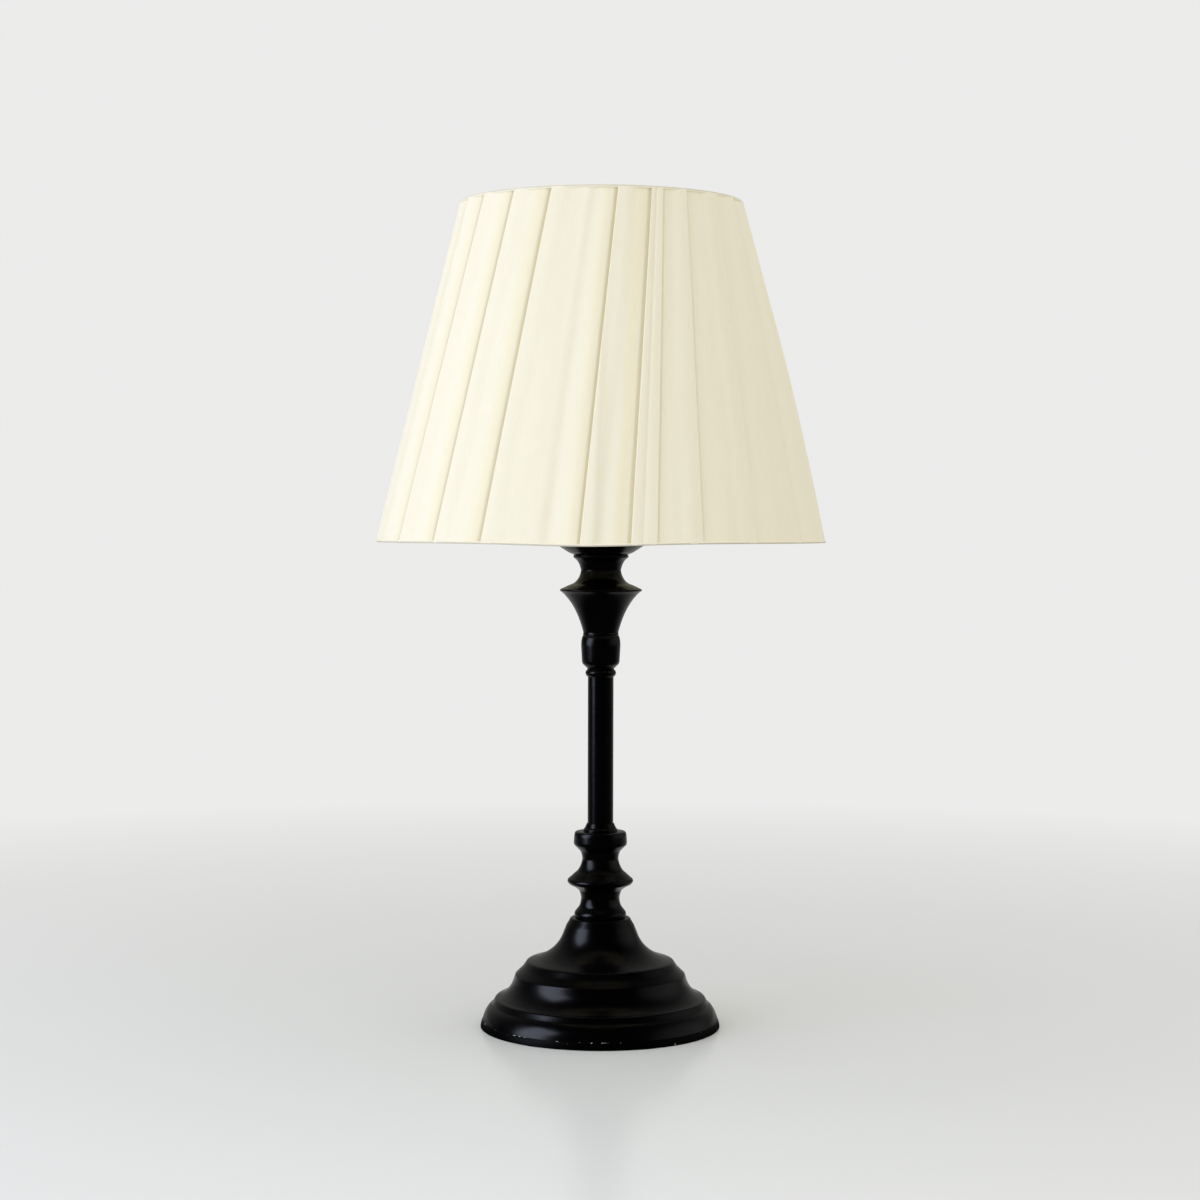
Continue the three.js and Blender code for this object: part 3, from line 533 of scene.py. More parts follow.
def lining_cloth():
    """The cover's cloth again, with a faint painted glow for daylight from behind."""
    material = cloth("lining_cloth", (0.92, 0.88, 0.72), (0.88, 0.83, 0.66), (0.85, 0.8, 0.66))
    shader = material.node_tree.nodes["Principled BSDF"]
    shader.inputs["Emission Color"].default_value = (*DAYLIGHT_GLOW_COLOR, 1)
    shader.inputs["Emission Strength"].default_value = DAYLIGHT_GLOW_STRENGTH
    return material


def bare_metal(name, color, dull, roughness):
    """Metal with fine marks and dull clouds."""
    finish = Finish(name, color, roughness, Metallic=1)
    cloud = finish.noise(160, detail=4)
    finish.color(finish.mixed(finish.ranged(cloud, 0.35, 0.7), color, dull))
    finish.roughness(finish.ranged(cloud, 0.3, 0.7, roughness, roughness + 0.15))
    finish.bump(finish.noise(900, detail=2), 0.12, 0.03 * MM)
    return finish.material


def cast_iron():
    finish = Finish("cast_iron", (0.06, 0.06, 0.065), 0.7, Metallic=0.7)
    grit = finish.noise(700, detail=6)
    finish.color(finish.mixed(grit, (0.035, 0.034, 0.034), (0.1, 0.098, 0.1)))
    finish.roughness(finish.ranged(grit, 0.3, 0.7, 0.6, 0.85))
    finish.bump(grit, 0.6, 0.3 * MM)
    return finish.material


def moulded(name, color, other, roughness):
    """Moulded plastic, ceramic or enamel: even, with a faint flow in colour and gloss."""
    finish = Finish(name, color, roughness)
    flow = finish.noise(120, detail=3, stretch=(1, 1, 0.4))
    finish.color(finish.mixed(finish.ranged(flow, 0.35, 0.65), color, other))
    finish.roughness(finish.ranged(flow, 0.3, 0.7, roughness * 0.9, roughness * 1.2))
    finish.bump(finish.noise(1100, detail=1), 0.08, 0.02 * MM)
    return finish.material


def felt():
    finish = Finish("pad_felt", (0.012, 0.012, 0.012), 0.95, Sheen_Weight=0.4, Sheen_Roughness=0.6)
    fuzz = finish.noise(1300, detail=5)
    finish.color(finish.mixed(fuzz, (0.006, 0.006, 0.006), (0.03, 0.03, 0.031)))
    finish.bump(fuzz, 0.7, 0.25 * MM)
    return finish.material


def clear_glass():
    finish = Finish("bulb_glass", (0.98, 0.99, 0.99), 0.02, IOR=1.46, Transmission_Weight=1)
    finish.roughness(finish.ranged(finish.noise(45, detail=2), 0.3, 0.7, 0.01, 0.035))
    return finish.material


def filament_coat():
    finish = Finish("filament_coat", (0.83, 0.5, 0.09), 0.6)
    grain = finish.noise(2200, detail=2)
    finish.color(finish.mixed(grain, (0.72, 0.4, 0.05), (0.9, 0.6, 0.14)))
    finish.bump(grain, 0.4, 0.05 * MM)
    return finish.material


FINISHES = {
    "black_paint": black_paint(),
    "foot_black": foot_black(),
    "cast_iron": cast_iron(),
    "steel": bare_metal("zinc_steel", (0.55, 0.56, 0.58), (0.42, 0.43, 0.44), 0.32),
    "brass": bare_metal("brass", (0.62, 0.42, 0.14), (0.5, 0.32, 0.1), 0.3),
    "cap_metal": bare_metal("nickel", (0.62, 0.61, 0.57), (0.5, 0.49, 0.46), 0.25),
    "black_plastic": moulded("black_plastic", (0.006, 0.006, 0.006), (0.011, 0.01, 0.01), 0.34),
    "white_insulator": moulded("white_ceramic", (0.78, 0.74, 0.66), (0.72, 0.68, 0.6), 0.35),
    "pad_cloth": felt(),
    "shade_cloth": cloth("ivory_cloth", (0.915, 0.863, 0.7), (0.895, 0.83, 0.66), (0.66, 0.6, 0.41)),
    "lining_cloth": lining_cloth(),
    "white_wire": moulded("white_enamel", (0.78, 0.77, 0.73), (0.72, 0.71, 0.67), 0.4),
    "bulb_glass": clear_glass(),
    "filament": filament_coat(),
    "dark_insulator": moulded("dark_glass", (0.012, 0.012, 0.015), (0.02, 0.02, 0.022), 0.15),
}


def finish_of(node):
    return FINISHES[slot_of[node]]


def dress_cad_nodes():
    for node, piece in frame["nodes"].items():
        piece.data.materials.clear()
        piece.data.materials.append(finish_of(node))


# Turned black pieces
BASE_SEGMENTS = 192
COLUMN_SEGMENTS = 112
SEAT_GAP = 0.3 * MM

DOME_WALL = 2 * MM
DOME_FOOT_RADIUS = 65.7 * MM
DOME_STEPS = (
    bend(-5.2, 8.6, 0.45),
    line(-1.5, 2.5),
    bend(-1.8, 1.2, 0.6),
    bend(-8.7, 9.3, -0.45),
    line(-1.05, 3.4),
    line(-4.05, 3.9),
    line(-2.2, 3.2),
    bend(-1.7, 0.8, 0.4),
    bend(-18.2, 13.7, -0.5),
    line(-2.4, 6),
    line(-1.8, 3),
    bend(-0.8, 1, 0.5),
)

BALUSTER_FOOT_RADIUS = 13.9 * MM
BALUSTER_STEPS = (
    bead(0.6, 3.8),
    line(-1.8, 2.2),
    bend(-1.4, 5.3, -0.5),
    bend(1.25, 4.2, 0.25),
    bend(4.9, 3.1, 0.2),
    bend(1.6, 2, -0.4),
    bend(-1.45, 1.9, 0.55),
    line(-2.6, 2.45),
    bend(-4.35, 8.05, -0.5),
    bend(1.65, 5, 0.55),
    line(2.6, 2.5),
    bend(0.6, 1.75, -0.6),
    line(-0.25, 3.95),
    line(-0.3, 1.3),
    bend(-0.6, 0.7, 0.5),
)

STEM_RADIUS = 7.15 * MM
STEM_WALL = 1 * MM
FERRULE_STEPS = (line(0, 1.4), line(-0.8, 0.6), line(-1.15, 2.6))
FERRULE_FOOT_WIDTH = 2.1 * MM
UPPER_BEAD_STEPS = (bead(1.3, 4.4),)
UPPER_BEAD_STEP = 0.1 * MM

URN_FOOT_RADIUS = 7.5 * MM
URN_STEPS = (
    line(0, 0.4),
    line(2.15, 2),
    bend(0.85, 1.9, -0.5),
    line(0.5, 9.1),
    bend(-0.95, 5.1, 0.6),
    line(-0.35, 0.3),
    bead(0.25, 1.4),
    bend(10.1, 20.7, 0.32),
    bend(2.8, 2.5, 0.2),
    bead(0.3, 1.1),
    line(-5.1, 2.4),
    bend(-6.4, 8, -0.65),
    bend(3.8, 6.9, 0.5),
)

CUP_FOOT_RADIUS = 14.9 * MM
CUP_FLOOR = 4.2 * MM
CUP_WALL = 1.2 * MM
CUP_FOOT_STEPS = (bead(0.55, 1.7), line(0.3, 0.25), line(2.8, 1.15))
CUP_SLOPE = line(5.6, 3.6)
CUP_RIM = bend(2.9, 4.6, -0.5)


COLUMN_BORE = reach_of("stem_rod") + SEAT_GAP


def turned_piece(node, foot_radius, steps, bore=COLUMN_BORE):
    low = low_of(node)
    outer = softened(draw(foot_radius, low, steps))
    lathe(node, [(bore, low), *outer, (bore, outer[-1][1])], COLUMN_SEGMENTS)


def dome_outlines():
    """The dome's outer line, and the same moved in and down by the wall, from its edge up."""
    outer = softened(draw(DOME_FOOT_RADIUS, low_of("base_dome"), DOME_STEPS))
    return outer, outer - DOME_WALL


def radius_at(points, height):
    return float(np.interp(height, points[:, 1], points[:, 0]))


def make_dome():
    outer, inner = dome_outlines()
    low = outer[0][1]
    foot = (radius_at(inner, low), low)
    inside = inner[inner[:, 1] > low]
    top = outer[-1][1]
    closing = [(COLUMN_BORE, top), (COLUMN_BORE, top - DOME_WALL)]
    outline = np.concatenate([outer, closing, inside[::-1], [foot]])
    return lathe("base_dome", outline, BASE_SEGMENTS)


FOOT_WIDTH = 7.6 * MM
FOOT_STEP = 1.2 * MM
FOOT_BEVEL = 0.4 * MM
FOOT_BEND = 0.3
FOOT_CORNER = 0.15 * MM
FOOT_LIP_HEIGHT = 1.6 * MM
FOOT_LIP_WIDTH = 1.5 * MM
# Worn edge of the foot: how far the wear reaches, the side that was knocked most and how wide
# that side is, and the wear all round and there
WEAR_REACH = 0.9 * MM
WEAR_SIDE = math.radians(246)
WEAR_SPREAD = math.radians(46)
WEAR_ALL_ROUND = 0.45
WEAR_MORE = 0.75


def make_foot_ring():
    high = low_of("base_dome")
    lip_top = high + FOOT_LIP_HEIGHT
    lip = radius_at(dome_outlines()[1], lip_top) - SEAT_GAP
    radius = DOME_FOOT_RADIUS + FOOT_STEP
    side = draw(radius, FOOT_BEVEL, [step(-FOOT_STEP, high - FOOT_BEVEL, FOOT_BEND)])
    closing = [
        (lip, high),
        (lip, lip_top),
        (lip - FOOT_LIP_WIDTH, lip_top),
        (lip - FOOT_LIP_WIDTH, high),
        (radius - FOOT_WIDTH, high),
        (radius - FOOT_WIDTH, 0),
    ]
    edge = softened(np.array([(radius - FOOT_BEVEL, 0), *side]), FOOT_CORNER)
    piece = lathe("foot_ring", [*edge, *closing], BASE_SEGMENTS * 2)
    x, y, z = points_of(piece).T
    angles = np.arctan2(y, x) % (2 * math.pi)
    from_edge = np.hypot(np.hypot(x, y) - DOME_FOOT_RADIUS, z - high)
    amount = WEAR_ALL_ROUND + WEAR_MORE * bell(angles, WEAR_SIDE, WEAR_SPREAD)
    wear = np.exp(-from_edge / WEAR_REACH) * amount
    set_attribute(piece.data, "wear", wear)


def make_column():
    turned_piece("lower_baluster", BALUSTER_FOOT_RADIUS, BALUSTER_STEPS)
    bore = STEM_RADIUS + SEAT_GAP
    turned_piece("lower_ferrule", bore + FERRULE_FOOT_WIDTH, FERRULE_STEPS, bore)
    turned_piece("upper_bead", STEM_RADIUS + UPPER_BEAD_STEP, UPPER_BEAD_STEPS)
    turned_piece("urn", URN_FOOT_RADIUS, URN_STEPS)
    height = high_of("stem_tube") - low_of("stem_tube")
    turned_piece("stem_tube", STEM_RADIUS, [step(0, height)], STEM_RADIUS - STEM_WALL)


def make_drip_cup():
    low = low_of("drip_cup")
    floor = low + CUP_FLOOR
    outer = draw(CUP_FOOT_RADIUS, low, (*CUP_FOOT_STEPS, CUP_SLOPE, CUP_RIM))
    across, up, amount, _ = CUP_RIM
    inside = draw(*(outer[-1] - (CUP_WALL, 0)), [step(-across, -up, amount)])
    share = (inside[-1][1] - floor) / CUP_SLOPE[1]
    slope_end = inside[-1] - share * np.array(CUP_SLOPE[:2])
    visible = softened(np.concatenate([outer, inside, [slope_end]]))
    lathe("drip_cup", [(COLUMN_BORE, low), *visible, (COLUMN_BORE, floor)], COLUMN_SEGMENTS)


# Shade
SHADE_SEGMENTS = 192
BINDING_ROUND = 0.5 * MM
BINDING_HEIGHT = high_of("bottom_binding") - low_of("bottom_binding")
SHADE_LOW = low_of("bottom_binding")
SHADE_HIGH = high_of("top_binding")
BOTTOM_WIDE = reach_of("bottom_binding")
TOP_WIDE = reach_of("top_binding")
WIDE_APART = SHADE_HIGH - SHADE_LOW - BINDING_HEIGHT
SLOPE = (BOTTOM_WIDE - TOP_WIDE) / WIDE_APART
SLANT = math.cos(math.atan(SLOPE))


def cone_radius(height, inset=0.0):
    """Radius of the cone through the fold crests, less an inset square to the cone."""
    return BOTTOM_WIDE - (height - SHADE_LOW - BINDING_ROUND) * SLOPE - inset / SLANT


# Folds seen from the front, as angles at the bottom and the top edge, in degrees from the
# front centre and positive towards +X, how deep the painted shade beside the fold is and how
# wide it is as a share; each fold runs straight between its two ends
FRONT_FOLDS = (
    (-72.6, -67.5, 0.8, 1),
    (-60.2, -53.9, 0.9, 1),
    (-45.1, -36.9, 0.78, 1),
    (-30.4, -20.3, 0.82, 1),
    (-5.5, 5.6, 0.72, 0.5),
    (6.5, 18.9, 0.6, 0.6),
    (13.3, 24.3, 0.5, 0.7),
    (24.8, 34.6, 0.35, 0.8),
    (40.6, 51.5, 0.1, 0.8),
    (58.4, 64.4, 0.3, 1),
)
BACK_STRIPS = 14
# The narrow strip that starts at this fold lies over both of its neighbours
TOP_STRIP = 5
# Soft creases inside a strip: strip, angle at the bottom and top, height of the step down to
# the right, and the share of the height where it ends
CREASES = (
    (3, -14.4, -4.0, 0.4 * MM, 1.0),
    (4, -1.4, 1.5, 0.28 * MM, 0.55),
)

# Crease: how far it fades out, how far its rise reaches, how steep its step is, and its painted shade
CREASE_FADE = 0.15
CREASE_REACH = 7 * MM
CREASE_STEP = 1.2 * MM
CREASE_SHADE = 0.12
CREASE_SHADE_AT = 1.5 * MM
CREASE_SHADE_WIDTH = 2.5 * MM

# Paler band beside a fold that covers the strip: where it starts and ends, over what width it
# does so, and how strong it is, also in the strips where it shows most
BAND_START = 2.5 * MM
BAND_RISE = 4 * MM
BAND_END = 12 * MM
BAND_FALL = 9 * MM
BAND_STRENGTH = 0.15
CLEAR_BAND_STRENGTH = 0.45
CLEAR_BAND_STRIPS = (3,)
# Painted yellowish glow of light through the layers beside a right-hand fold: how far off its
# middle is, which is also half its width
WARM_GLOW_MIDDLE = 5 * MM
# Painted shade beside a fold: a dark core in a soft band
CORE_SHARE = 0.74
CORE_WIDTH = 1.2 * MM
SOFT_WIDTH = 2.6 * MM

CLOTH = 0.35 * MM
CLOTH_INSET = 0.9 * MM
FOLD_RADIUS = 0.34 * MM
FOLD_RISE = 0.72 * MM
# How far a left and a right edge that lies on top stays back from the line of its fold
EDGE_BACKS = (1.2 * MM, 0)
TUCK_DROP = 0.3 * MM
TUCK = 5 * MM
DIP_REACH = 2.6 * MM
# Hem under an edge that lies on top and the slope beside it, and the share of a strip's width that
# each never passes
HEM = 6 * MM
HEM_SHARE = 0.3
HEM_EASE = 7 * MM
EASE_SHARE = 0.35
STRIP_ROWS = 44
ACROSS_POINTS = 34
FOLD_POINTS = 7
EVEN_SHARE = 0.45
HEM_POINTS = 3
STRIP_END = 0.5 * MM
STRIP_SHIFT = 0.37
CREASED_ANGLE = 60
# Slow ripples of a strip, which die out towards its edges, and the spans of their waves in mm
RIPPLE = 0.16 * MM
RIPPLE_EDGE = 5 * MM
RIPPLE_WAVES = 5
RIPPLE_ACROSS = (9, 26)
RIPPLE_ALONG = (90, 260)
RIPPLE_SEED = 7
# Cloth that stands off the frame at half height, at the right
SLACK = 2.3 * MM
SLACK_SIDE = math.radians(88)
SLACK_SPREAD = math.radians(32)
# How far the cloth hangs below the bottom wire's place, all round and more in front
HANG = 0.35 * MM
HANG_FRONT = 1.3 * MM
HANG_SIDE = math.radians(-4)
HANG_SPREAD = math.radians(19)
HANG_REACH = 25 * MM


def hung(points):
    """The same points, lower where the cloth hangs at its bottom edge."""
    x, y, height = np.asarray(points).T
    angle = np.arctan2(x, -y)
    front = HANG_FRONT * bell(angle, HANG_SIDE, HANG_SPREAD)
    drop = (HANG + front) * (1 - eased((height - SHADE_LOW) / HANG_REACH))
    spread = (BOTTOM_WIDE - TOP_WIDE) / (SHADE_HIGH - SHADE_LOW)
    wider = 1 + drop * spread / np.hypot(x, y)
    return np.stack([x * wider, y * wider, height - drop], axis=1)


def all_folds():
    folds = list(FRONT_FOLDS)
    last, first = FRONT_FOLDS[-1], FRONT_FOLDS[0]
    for i in range(1, BACK_STRIPS):
        share = i / BACK_STRIPS
        edges = [last[k] + share * (first[k] + 360 - last[k]) for k in (0, 1)]
        folds.append((*edges, last[2] + share * (first[2] - last[2]), 1))
    return folds


def straight_angles(bottom, top, shares):
    """Angles up a straight line between a point of the bottom edge and one of the top edge."""
    middle = (bottom + top) / 2
    low, high = math.radians(bottom - middle), math.radians(top - middle)
    across = (1 - shares) * BOTTOM_WIDE * math.sin(low) + shares * TOP_WIDE * math.sin(high)
    outwards = (1 - shares) * BOTTOM_WIDE * math.cos(low) + shares * TOP_WIDE * math.cos(high)
    return np.arctan2(across, outwards) + math.radians(middle)


def lies_on_top(index, count):
    """Whether a strip's left and right edges lie on its neighbours."""
    half = (count - TOP_STRIP) // 2 + TOP_STRIP
    if index == TOP_STRIP:
        return True, True
    if index == half:
        return False, False
    right_on_top = TOP_STRIP < index < half
    return not right_on_top, right_on_top


def rippled(seed, across, along):
    """Soft uneven lie of stretched cloth: a few slow waves, longer up the strip than across."""
    random = np.random.default_rng(seed)
    total = np.zeros(across.shape)
    for _ in range(RIPPLE_WAVES):
        wide = random.uniform(*RIPPLE_ACROSS) * MM
        tall = random.uniform(*RIPPLE_ALONG) * MM
        phase, tilt = random.uniform(0, 2 * math.pi), random.choice((-1, 1))
        total += np.sin(2 * math.pi * (across / wide + tilt * along / tall) + phase) / 2
    return total / math.sqrt(RIPPLE_WAVES)


def edge_path(on_top, width, back):
    """Points beyond a strip's left edge, as (across, up) from the edge line, outermost last."""
    if on_top:
        turn = np.linspace(-0.5, -1.5, FOLD_POINTS) * math.pi
        across = back + FOLD_RADIUS * (1 + np.cos(turn))
        up = FOLD_RISE - FOLD_RADIUS + FOLD_RADIUS * np.sin(turn)
        hem = np.linspace(1, 0, HEM_POINTS + 1)[:-1]
        hem_across = back + FOLD_RADIUS + hem * np.minimum(HEM, HEM_SHARE * width)[:, None]
        fold_across = np.broadcast_to(across, (len(width), FOLD_POINTS))
        hem_up = np.full((len(width), HEM_POINTS), FOLD_RISE - 2 * FOLD_RADIUS)
        fold_up = np.broadcast_to(up, (len(width), FOLD_POINTS))
        return np.hstack([hem_across, fold_across]), np.hstack([hem_up, fold_up])
    tuck = np.linspace(-1, 0, HEM_POINTS + 1)[:-1] * TUCK
    across = np.broadcast_to(tuck, (len(width), HEM_POINTS))
    return across, np.full((len(width), HEM_POINTS), -TUCK_DROP)


def hem_rise(distance, widths):
    """Rise of an edge that lies on top: level over its hem, then easing down."""
    hem = np.minimum(HEM, HEM_SHARE * widths)[:, None]
    ease = np.minimum(HEM_EASE, EASE_SHARE * widths)[:, None]
    return FOLD_RISE * (1 - eased((distance - hem) / ease))


def fold_shade(near):
    """Painted shade beside a fold that covers the strip."""
    core = CORE_SHARE * bell(near, 0, CORE_WIDTH)
    return core + (1 - CORE_SHARE) * np.exp(-near / SOFT_WIDTH)


def band_beside_fold(distance, strength):
    """Paler band beside a fold that covers the strip."""
    start = eased((distance - BAND_START) / BAND_RISE)
    return strength * start * (1 - eased((distance - BAND_END) / BAND_FALL))


def crease(beyond, depth):
    """Rise and painted shade of a soft crease, by the distance to the right of its line."""
    rise = depth * np.exp(-np.abs(beyond) / CREASE_REACH) * np.tanh(-beyond / CREASE_STEP)
    return rise, CREASE_SHADE * bell(beyond, CREASE_SHADE_AT, CREASE_SHADE_WIDTH)


def strip_section(index, sides, shares, widths, left_angles):
    """Middle line of a strip's cloth at each height: across, up, and its tints by name, mostly painted
    light and shade.

    Each side says whether it lies on top, and how deep and wide the painted shade beside its fold is.
    """
    left_on_top, right_on_top = sides[0][0], sides[1][0]
    start = FOLD_RADIUS + EDGE_BACKS[0] if left_on_top else 0
    end = FOLD_RADIUS + EDGE_BACKS[1] if right_on_top else 0
    even = np.linspace(0, 1, ACROSS_POINTS)
    spaced = EVEN_SHARE * even + (1 - EVEN_SHARE) * eased(even)
    across = start + spaced * (widths - start - end)[:, None]
    distances = across, widths[:, None] - across
    up, fold, pale_band, painted_glow = (np.zeros(across.shape) for _ in range(4))
    strength = CLEAR_BAND_STRENGTH if index in CLEAR_BAND_STRIPS else BAND_STRENGTH
    for distance, (on_top, depth, reach) in zip(distances, sides):
        if on_top:
            up = np.maximum(up, hem_rise(distance, widths))
        else:
            up = up - TUCK_DROP * (1 - eased(distance / reach / DIP_REACH))
            # Painted shade and a paler band beside the fold that covers this edge
            fold = np.maximum(fold, depth * fold_shade(distance / reach))
            pale_band = np.maximum(pale_band, band_beside_fold(distance, strength))
    quiet = eased(distances[0] / RIPPLE_EDGE) * eased(distances[1] / RIPPLE_EDGE)
    rises = shares * (SHADE_HIGH - SHADE_LOW)
    up = up + RIPPLE * quiet * rippled(index + RIPPLE_SEED, across, (rises / SLANT)[:, None])
    for strip, bottom, top, depth, last in CREASES:
        if strip == index:
            place = straight_angles(bottom, top, shares) - left_angles
            beyond = across - (place * cone_radius(SHADE_LOW + rises))[:, None]
            fade = eased((last + CREASE_FADE - shares) / CREASE_FADE)[:, None] * quiet
            rise, shade = crease(beyond, depth)
            up = up + fade * rise
            fold = np.maximum(fold, fade * shade)
    # Painted yellowish glow of light through the layers beside the covered right edge
    if left_on_top and not right_on_top:
        painted_glow = eased(1 - np.abs(distances[1] - WARM_GLOW_MIDDLE) / WARM_GLOW_MIDDLE)
    left_x, left_y = edge_path(left_on_top, widths, EDGE_BACKS[0])
    right_x, right_y = edge_path(right_on_top, widths, EDGE_BACKS[1])

    def with_edges(values, left=0.0, right=0.0):
        return np.hstack([np.full(left_x.shape, left), values, np.full(right_x.shape, right)])

    across = np.hstack([left_x, across, widths[:, None] - right_x[:, ::-1]])
    up = np.hstack([left_y, up, right_y[:, ::-1]])
    left_shade, right_shade = (0.0 if on_top else depth for on_top, depth, _ in sides)
    tints = {
        "fold": with_edges(fold, left_shade, right_shade),
        "painted_glow": with_edges(painted_glow),
        "pale_band": with_edges(pale_band),
    }
    return across, up, tints


def both_sides(across, up):
    """The section's two faces, half the cloth's thickness to each side of its middle line."""
    along_x, along_y = np.gradient(across, axis=1), np.gradient(up, axis=1)
    length = np.hypot(along_x, along_y)
    normal_x, normal_y = -along_y / length, along_x / length
    half = CLOTH / 2
    outer = across + half * normal_x, up + half * normal_y
    inner = across - half * normal_x, up - half * normal_y
    return outer, inner


def make_strip(index, folds):
    count = len(folds)
    bottom, top, depth, reach = folds[index]
    next_bottom, next_top, next_depth, next_reach = folds[(index + 1) % count]
    if index == count - 1:
        next_bottom, next_top = next_bottom + 360, next_top + 360
    shares = np.linspace(0, 1, STRIP_ROWS)
    heights = SHADE_LOW + STRIP_END + shares * (SHADE_HIGH - SHADE_LOW - 2 * STRIP_END)
    left = straight_angles(bottom, top, shares)
    right = straight_angles(next_bottom, next_top, shares)
    radii = cone_radius(heights, CLOTH_INSET)
    widths = (right - left) * radii
    sides = list(zip(lies_on_top(index, count), (depth, next_depth), (reach, next_reach)))
    across, up, tints = strip_section(index, sides, shares, widths, left)
    points = []
    for side_across, side_up in both_sides(across, up):
        angle = left[:, None] + side_across / radii[:, None]
        bowed = SLACK * bell(angle, SLACK_SIDE, SLACK_SPREAD) * np.sin(math.pi * shares)[:, None]
        radius = radii[:, None] + side_up / SLANT + bowed
        height = np.broadcast_to(heights[:, None], radius.shape)
        grid = np.stack([radius * np.sin(angle), -radius * np.cos(angle), height], axis=-1)
        points.append(grid.reshape(-1, 3))
    points = hung(np.concatenate(points))
    rows, columns = across.shape
    faces = sheet_faces(rows, columns)
    piece = add_piece(f"cover_strip_{index + 1}", points, faces, ["shade_cover"], CREASED_ANGLE)
    for tint, values in tints.items():
        set_attribute(piece.data, tint, np.concatenate([values.ravel()] * 2))
    steps = np.hypot(np.diff(across, axis=1), np.diff(up, axis=1))
    run = np.concatenate([np.zeros((rows, 1)), np.cumsum(steps, axis=1)], axis=1)
    slant_height = np.broadcast_to(heights[:, None] / SLANT, run.shape)
    uv = np.stack([run + index * STRIP_SHIFT, slant_height], axis=-1).reshape(-1, 2)
    set_uv(piece.data, np.concatenate([uv] * 2))


# Insets of the binding's inside and of the lining's two faces from the cone through the crests
BINDING_INSET = 6.2 * MM
LINING_INSETS = (5.4 * MM, 5.85 * MM)
BINDING_CORNER = 0.3 * MM
# Painted shade: a dark line along the edge of each binding; its width, how it fades and how strong it is
EDGE_SHADE_LINE = 0.6 * MM
EDGE_SHADE_FADE = 0.3 * MM
EDGE_SHADE_STRENGTH = {"bottom_binding": 0.75, "top_binding": 0.45}


def make_binding(node):
    low, high = low_of(node), high_of(node)
    insets = ((low, BINDING_INSET), (low, 0), (high, 0), (high, BINDING_INSET))
    corners = np.array([(cone_radius(height, inset), height) for height, inset in insets])
    piece = lathe(node, softened(corners, BINDING_CORNER), SHADE_SEGMENTS)
    points = points_of(piece)
    x, y, z = points.T
    set_uv(piece.data, np.stack([z, np.arctan2(x, -y) * np.hypot(x, y)], axis=-1))
    # Painted shade: a dark line along the bottom binding's lower edge and the top binding's upper edge
    from_end = z - low if node == "bottom_binding" else high - z
    dark = EDGE_SHADE_STRENGTH[node] * (1 - eased((from_end - EDGE_SHADE_LINE) / EDGE_SHADE_FADE))
    set_attribute(piece.data, "edge", dark)
    piece.data.vertices.foreach_set("co", hung(points).ravel())
    return piece


LINING_ROWS = 40
LINING_COLUMNS = 360
LINING_SAG = 0.2 * MM
# Notches in the lining's lower edge, one round each arm of the gallery
ARMS = 3
NOTCH_HEIGHT = 4.5 * MM
NOTCH_HALF = math.radians(1.5)


def make_lining(bindings):
    """Plain lining: one closed tube of thin cloth, faintly uneven between the ribs."""
    low, high = low_of("shade_lining"), high_of("shade_lining")
    shares = np.linspace(0, 1, LINING_ROWS)[:, None]
    angles = all_round(LINING_COLUMNS)
    from_arm = (angles - math.pi / 2 + math.pi / ARMS) % (2 * math.pi / ARMS) - math.pi / ARMS
    notch = NOTCH_HEIGHT * (1 - eased((np.abs(from_arm) - NOTCH_HALF) / NOTCH_HALF))
    lows = low + notch
    heights = lows + shares * (high - lows)
    sag = LINING_SAG * np.cos(RIBS * angles) * np.sin(math.pi * shares)
    grids = []
    for inset in LINING_INSETS:
        radii = cone_radius(heights, inset) + sag
        grid = np.stack([radii * np.cos(angles), radii * np.sin(angles), heights], axis=-1)
        grids.append(grid.reshape(-1, 3))
    points = hung(np.concatenate(grids))
    faces = sheet_faces(LINING_ROWS, LINING_COLUMNS, around=True)
    piece = add_piece("lining_fine", points, faces, ["shade_lining"])
    around = np.tile(angles, 2 * LINING_ROWS) * BOTTOM_WIDE
    set_uv(piece.data, np.stack([around, points[:, 2]], axis=-1))


def make_shade():
    folds = all_folds()
    for index in range(len(folds)):
        make_strip(index, folds)
    make_lining([make_binding("bottom_binding"), make_binding("top_binding")])


# Wires of the shade's frame
WIRE_SIDES = 16
RIBS = 6
ARM_RADIUS = 1.4 * MM
ARM_LEVEL = 5 * MM
ARM_BEND = 1.5 * MM
PLATE_CORNER = 0.35 * MM
PLATE_CLEAR = 1.25 * MM
PLATE_REACH = 2.5 * MM


def swept(name, path, radius, node, closed=False):
    """Round wire along a path of points."""
    path = np.asarray(path, float)
    if closed:
        ahead, behind = np.roll(path, -1, axis=0), np.roll(path, 1, axis=0)
    else:
        ahead, behind = np.vstack([path[1:], path[-1:]]), np.vstack([path[:1], path[:-1]])
    along = ahead - behind
    along /= np.linalg.norm(along, axis=1)[:, None]
    level = np.cross(along, (0, 0, 1))
    level /= np.linalg.norm(level, axis=1)[:, None]
    square = np.cross(level, along)
    turn = all_round(WIRE_SIDES)[None, :, None]
    rings = path[:, None] + radius * (np.cos(turn) * level[:, None] + np.sin(turn) * square[:, None])
    add_piece(name, rings.reshape(-1, 3), tube_faces(len(path), WIRE_SIDES, closed), [node])


def at_angle(radius, angle, height):
    return (radius * math.cos(angle), radius * math.sin(angle), height)


def swept_ring(node, sides):
    """Round wire ring in the place of a CAD ring, which it returns as radius, height and wire."""
    low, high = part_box(node)
    wire = (high.z - low.z) / 2
    radius, height = high.x - wire, (low.z + high.z) / 2
    turn = all_round(sides)
    path = [at_angle(radius, angle, height) for angle in turn]
    swept(f"{node}_fine", path, wire, node, closed=True)
    return radius, height, wire


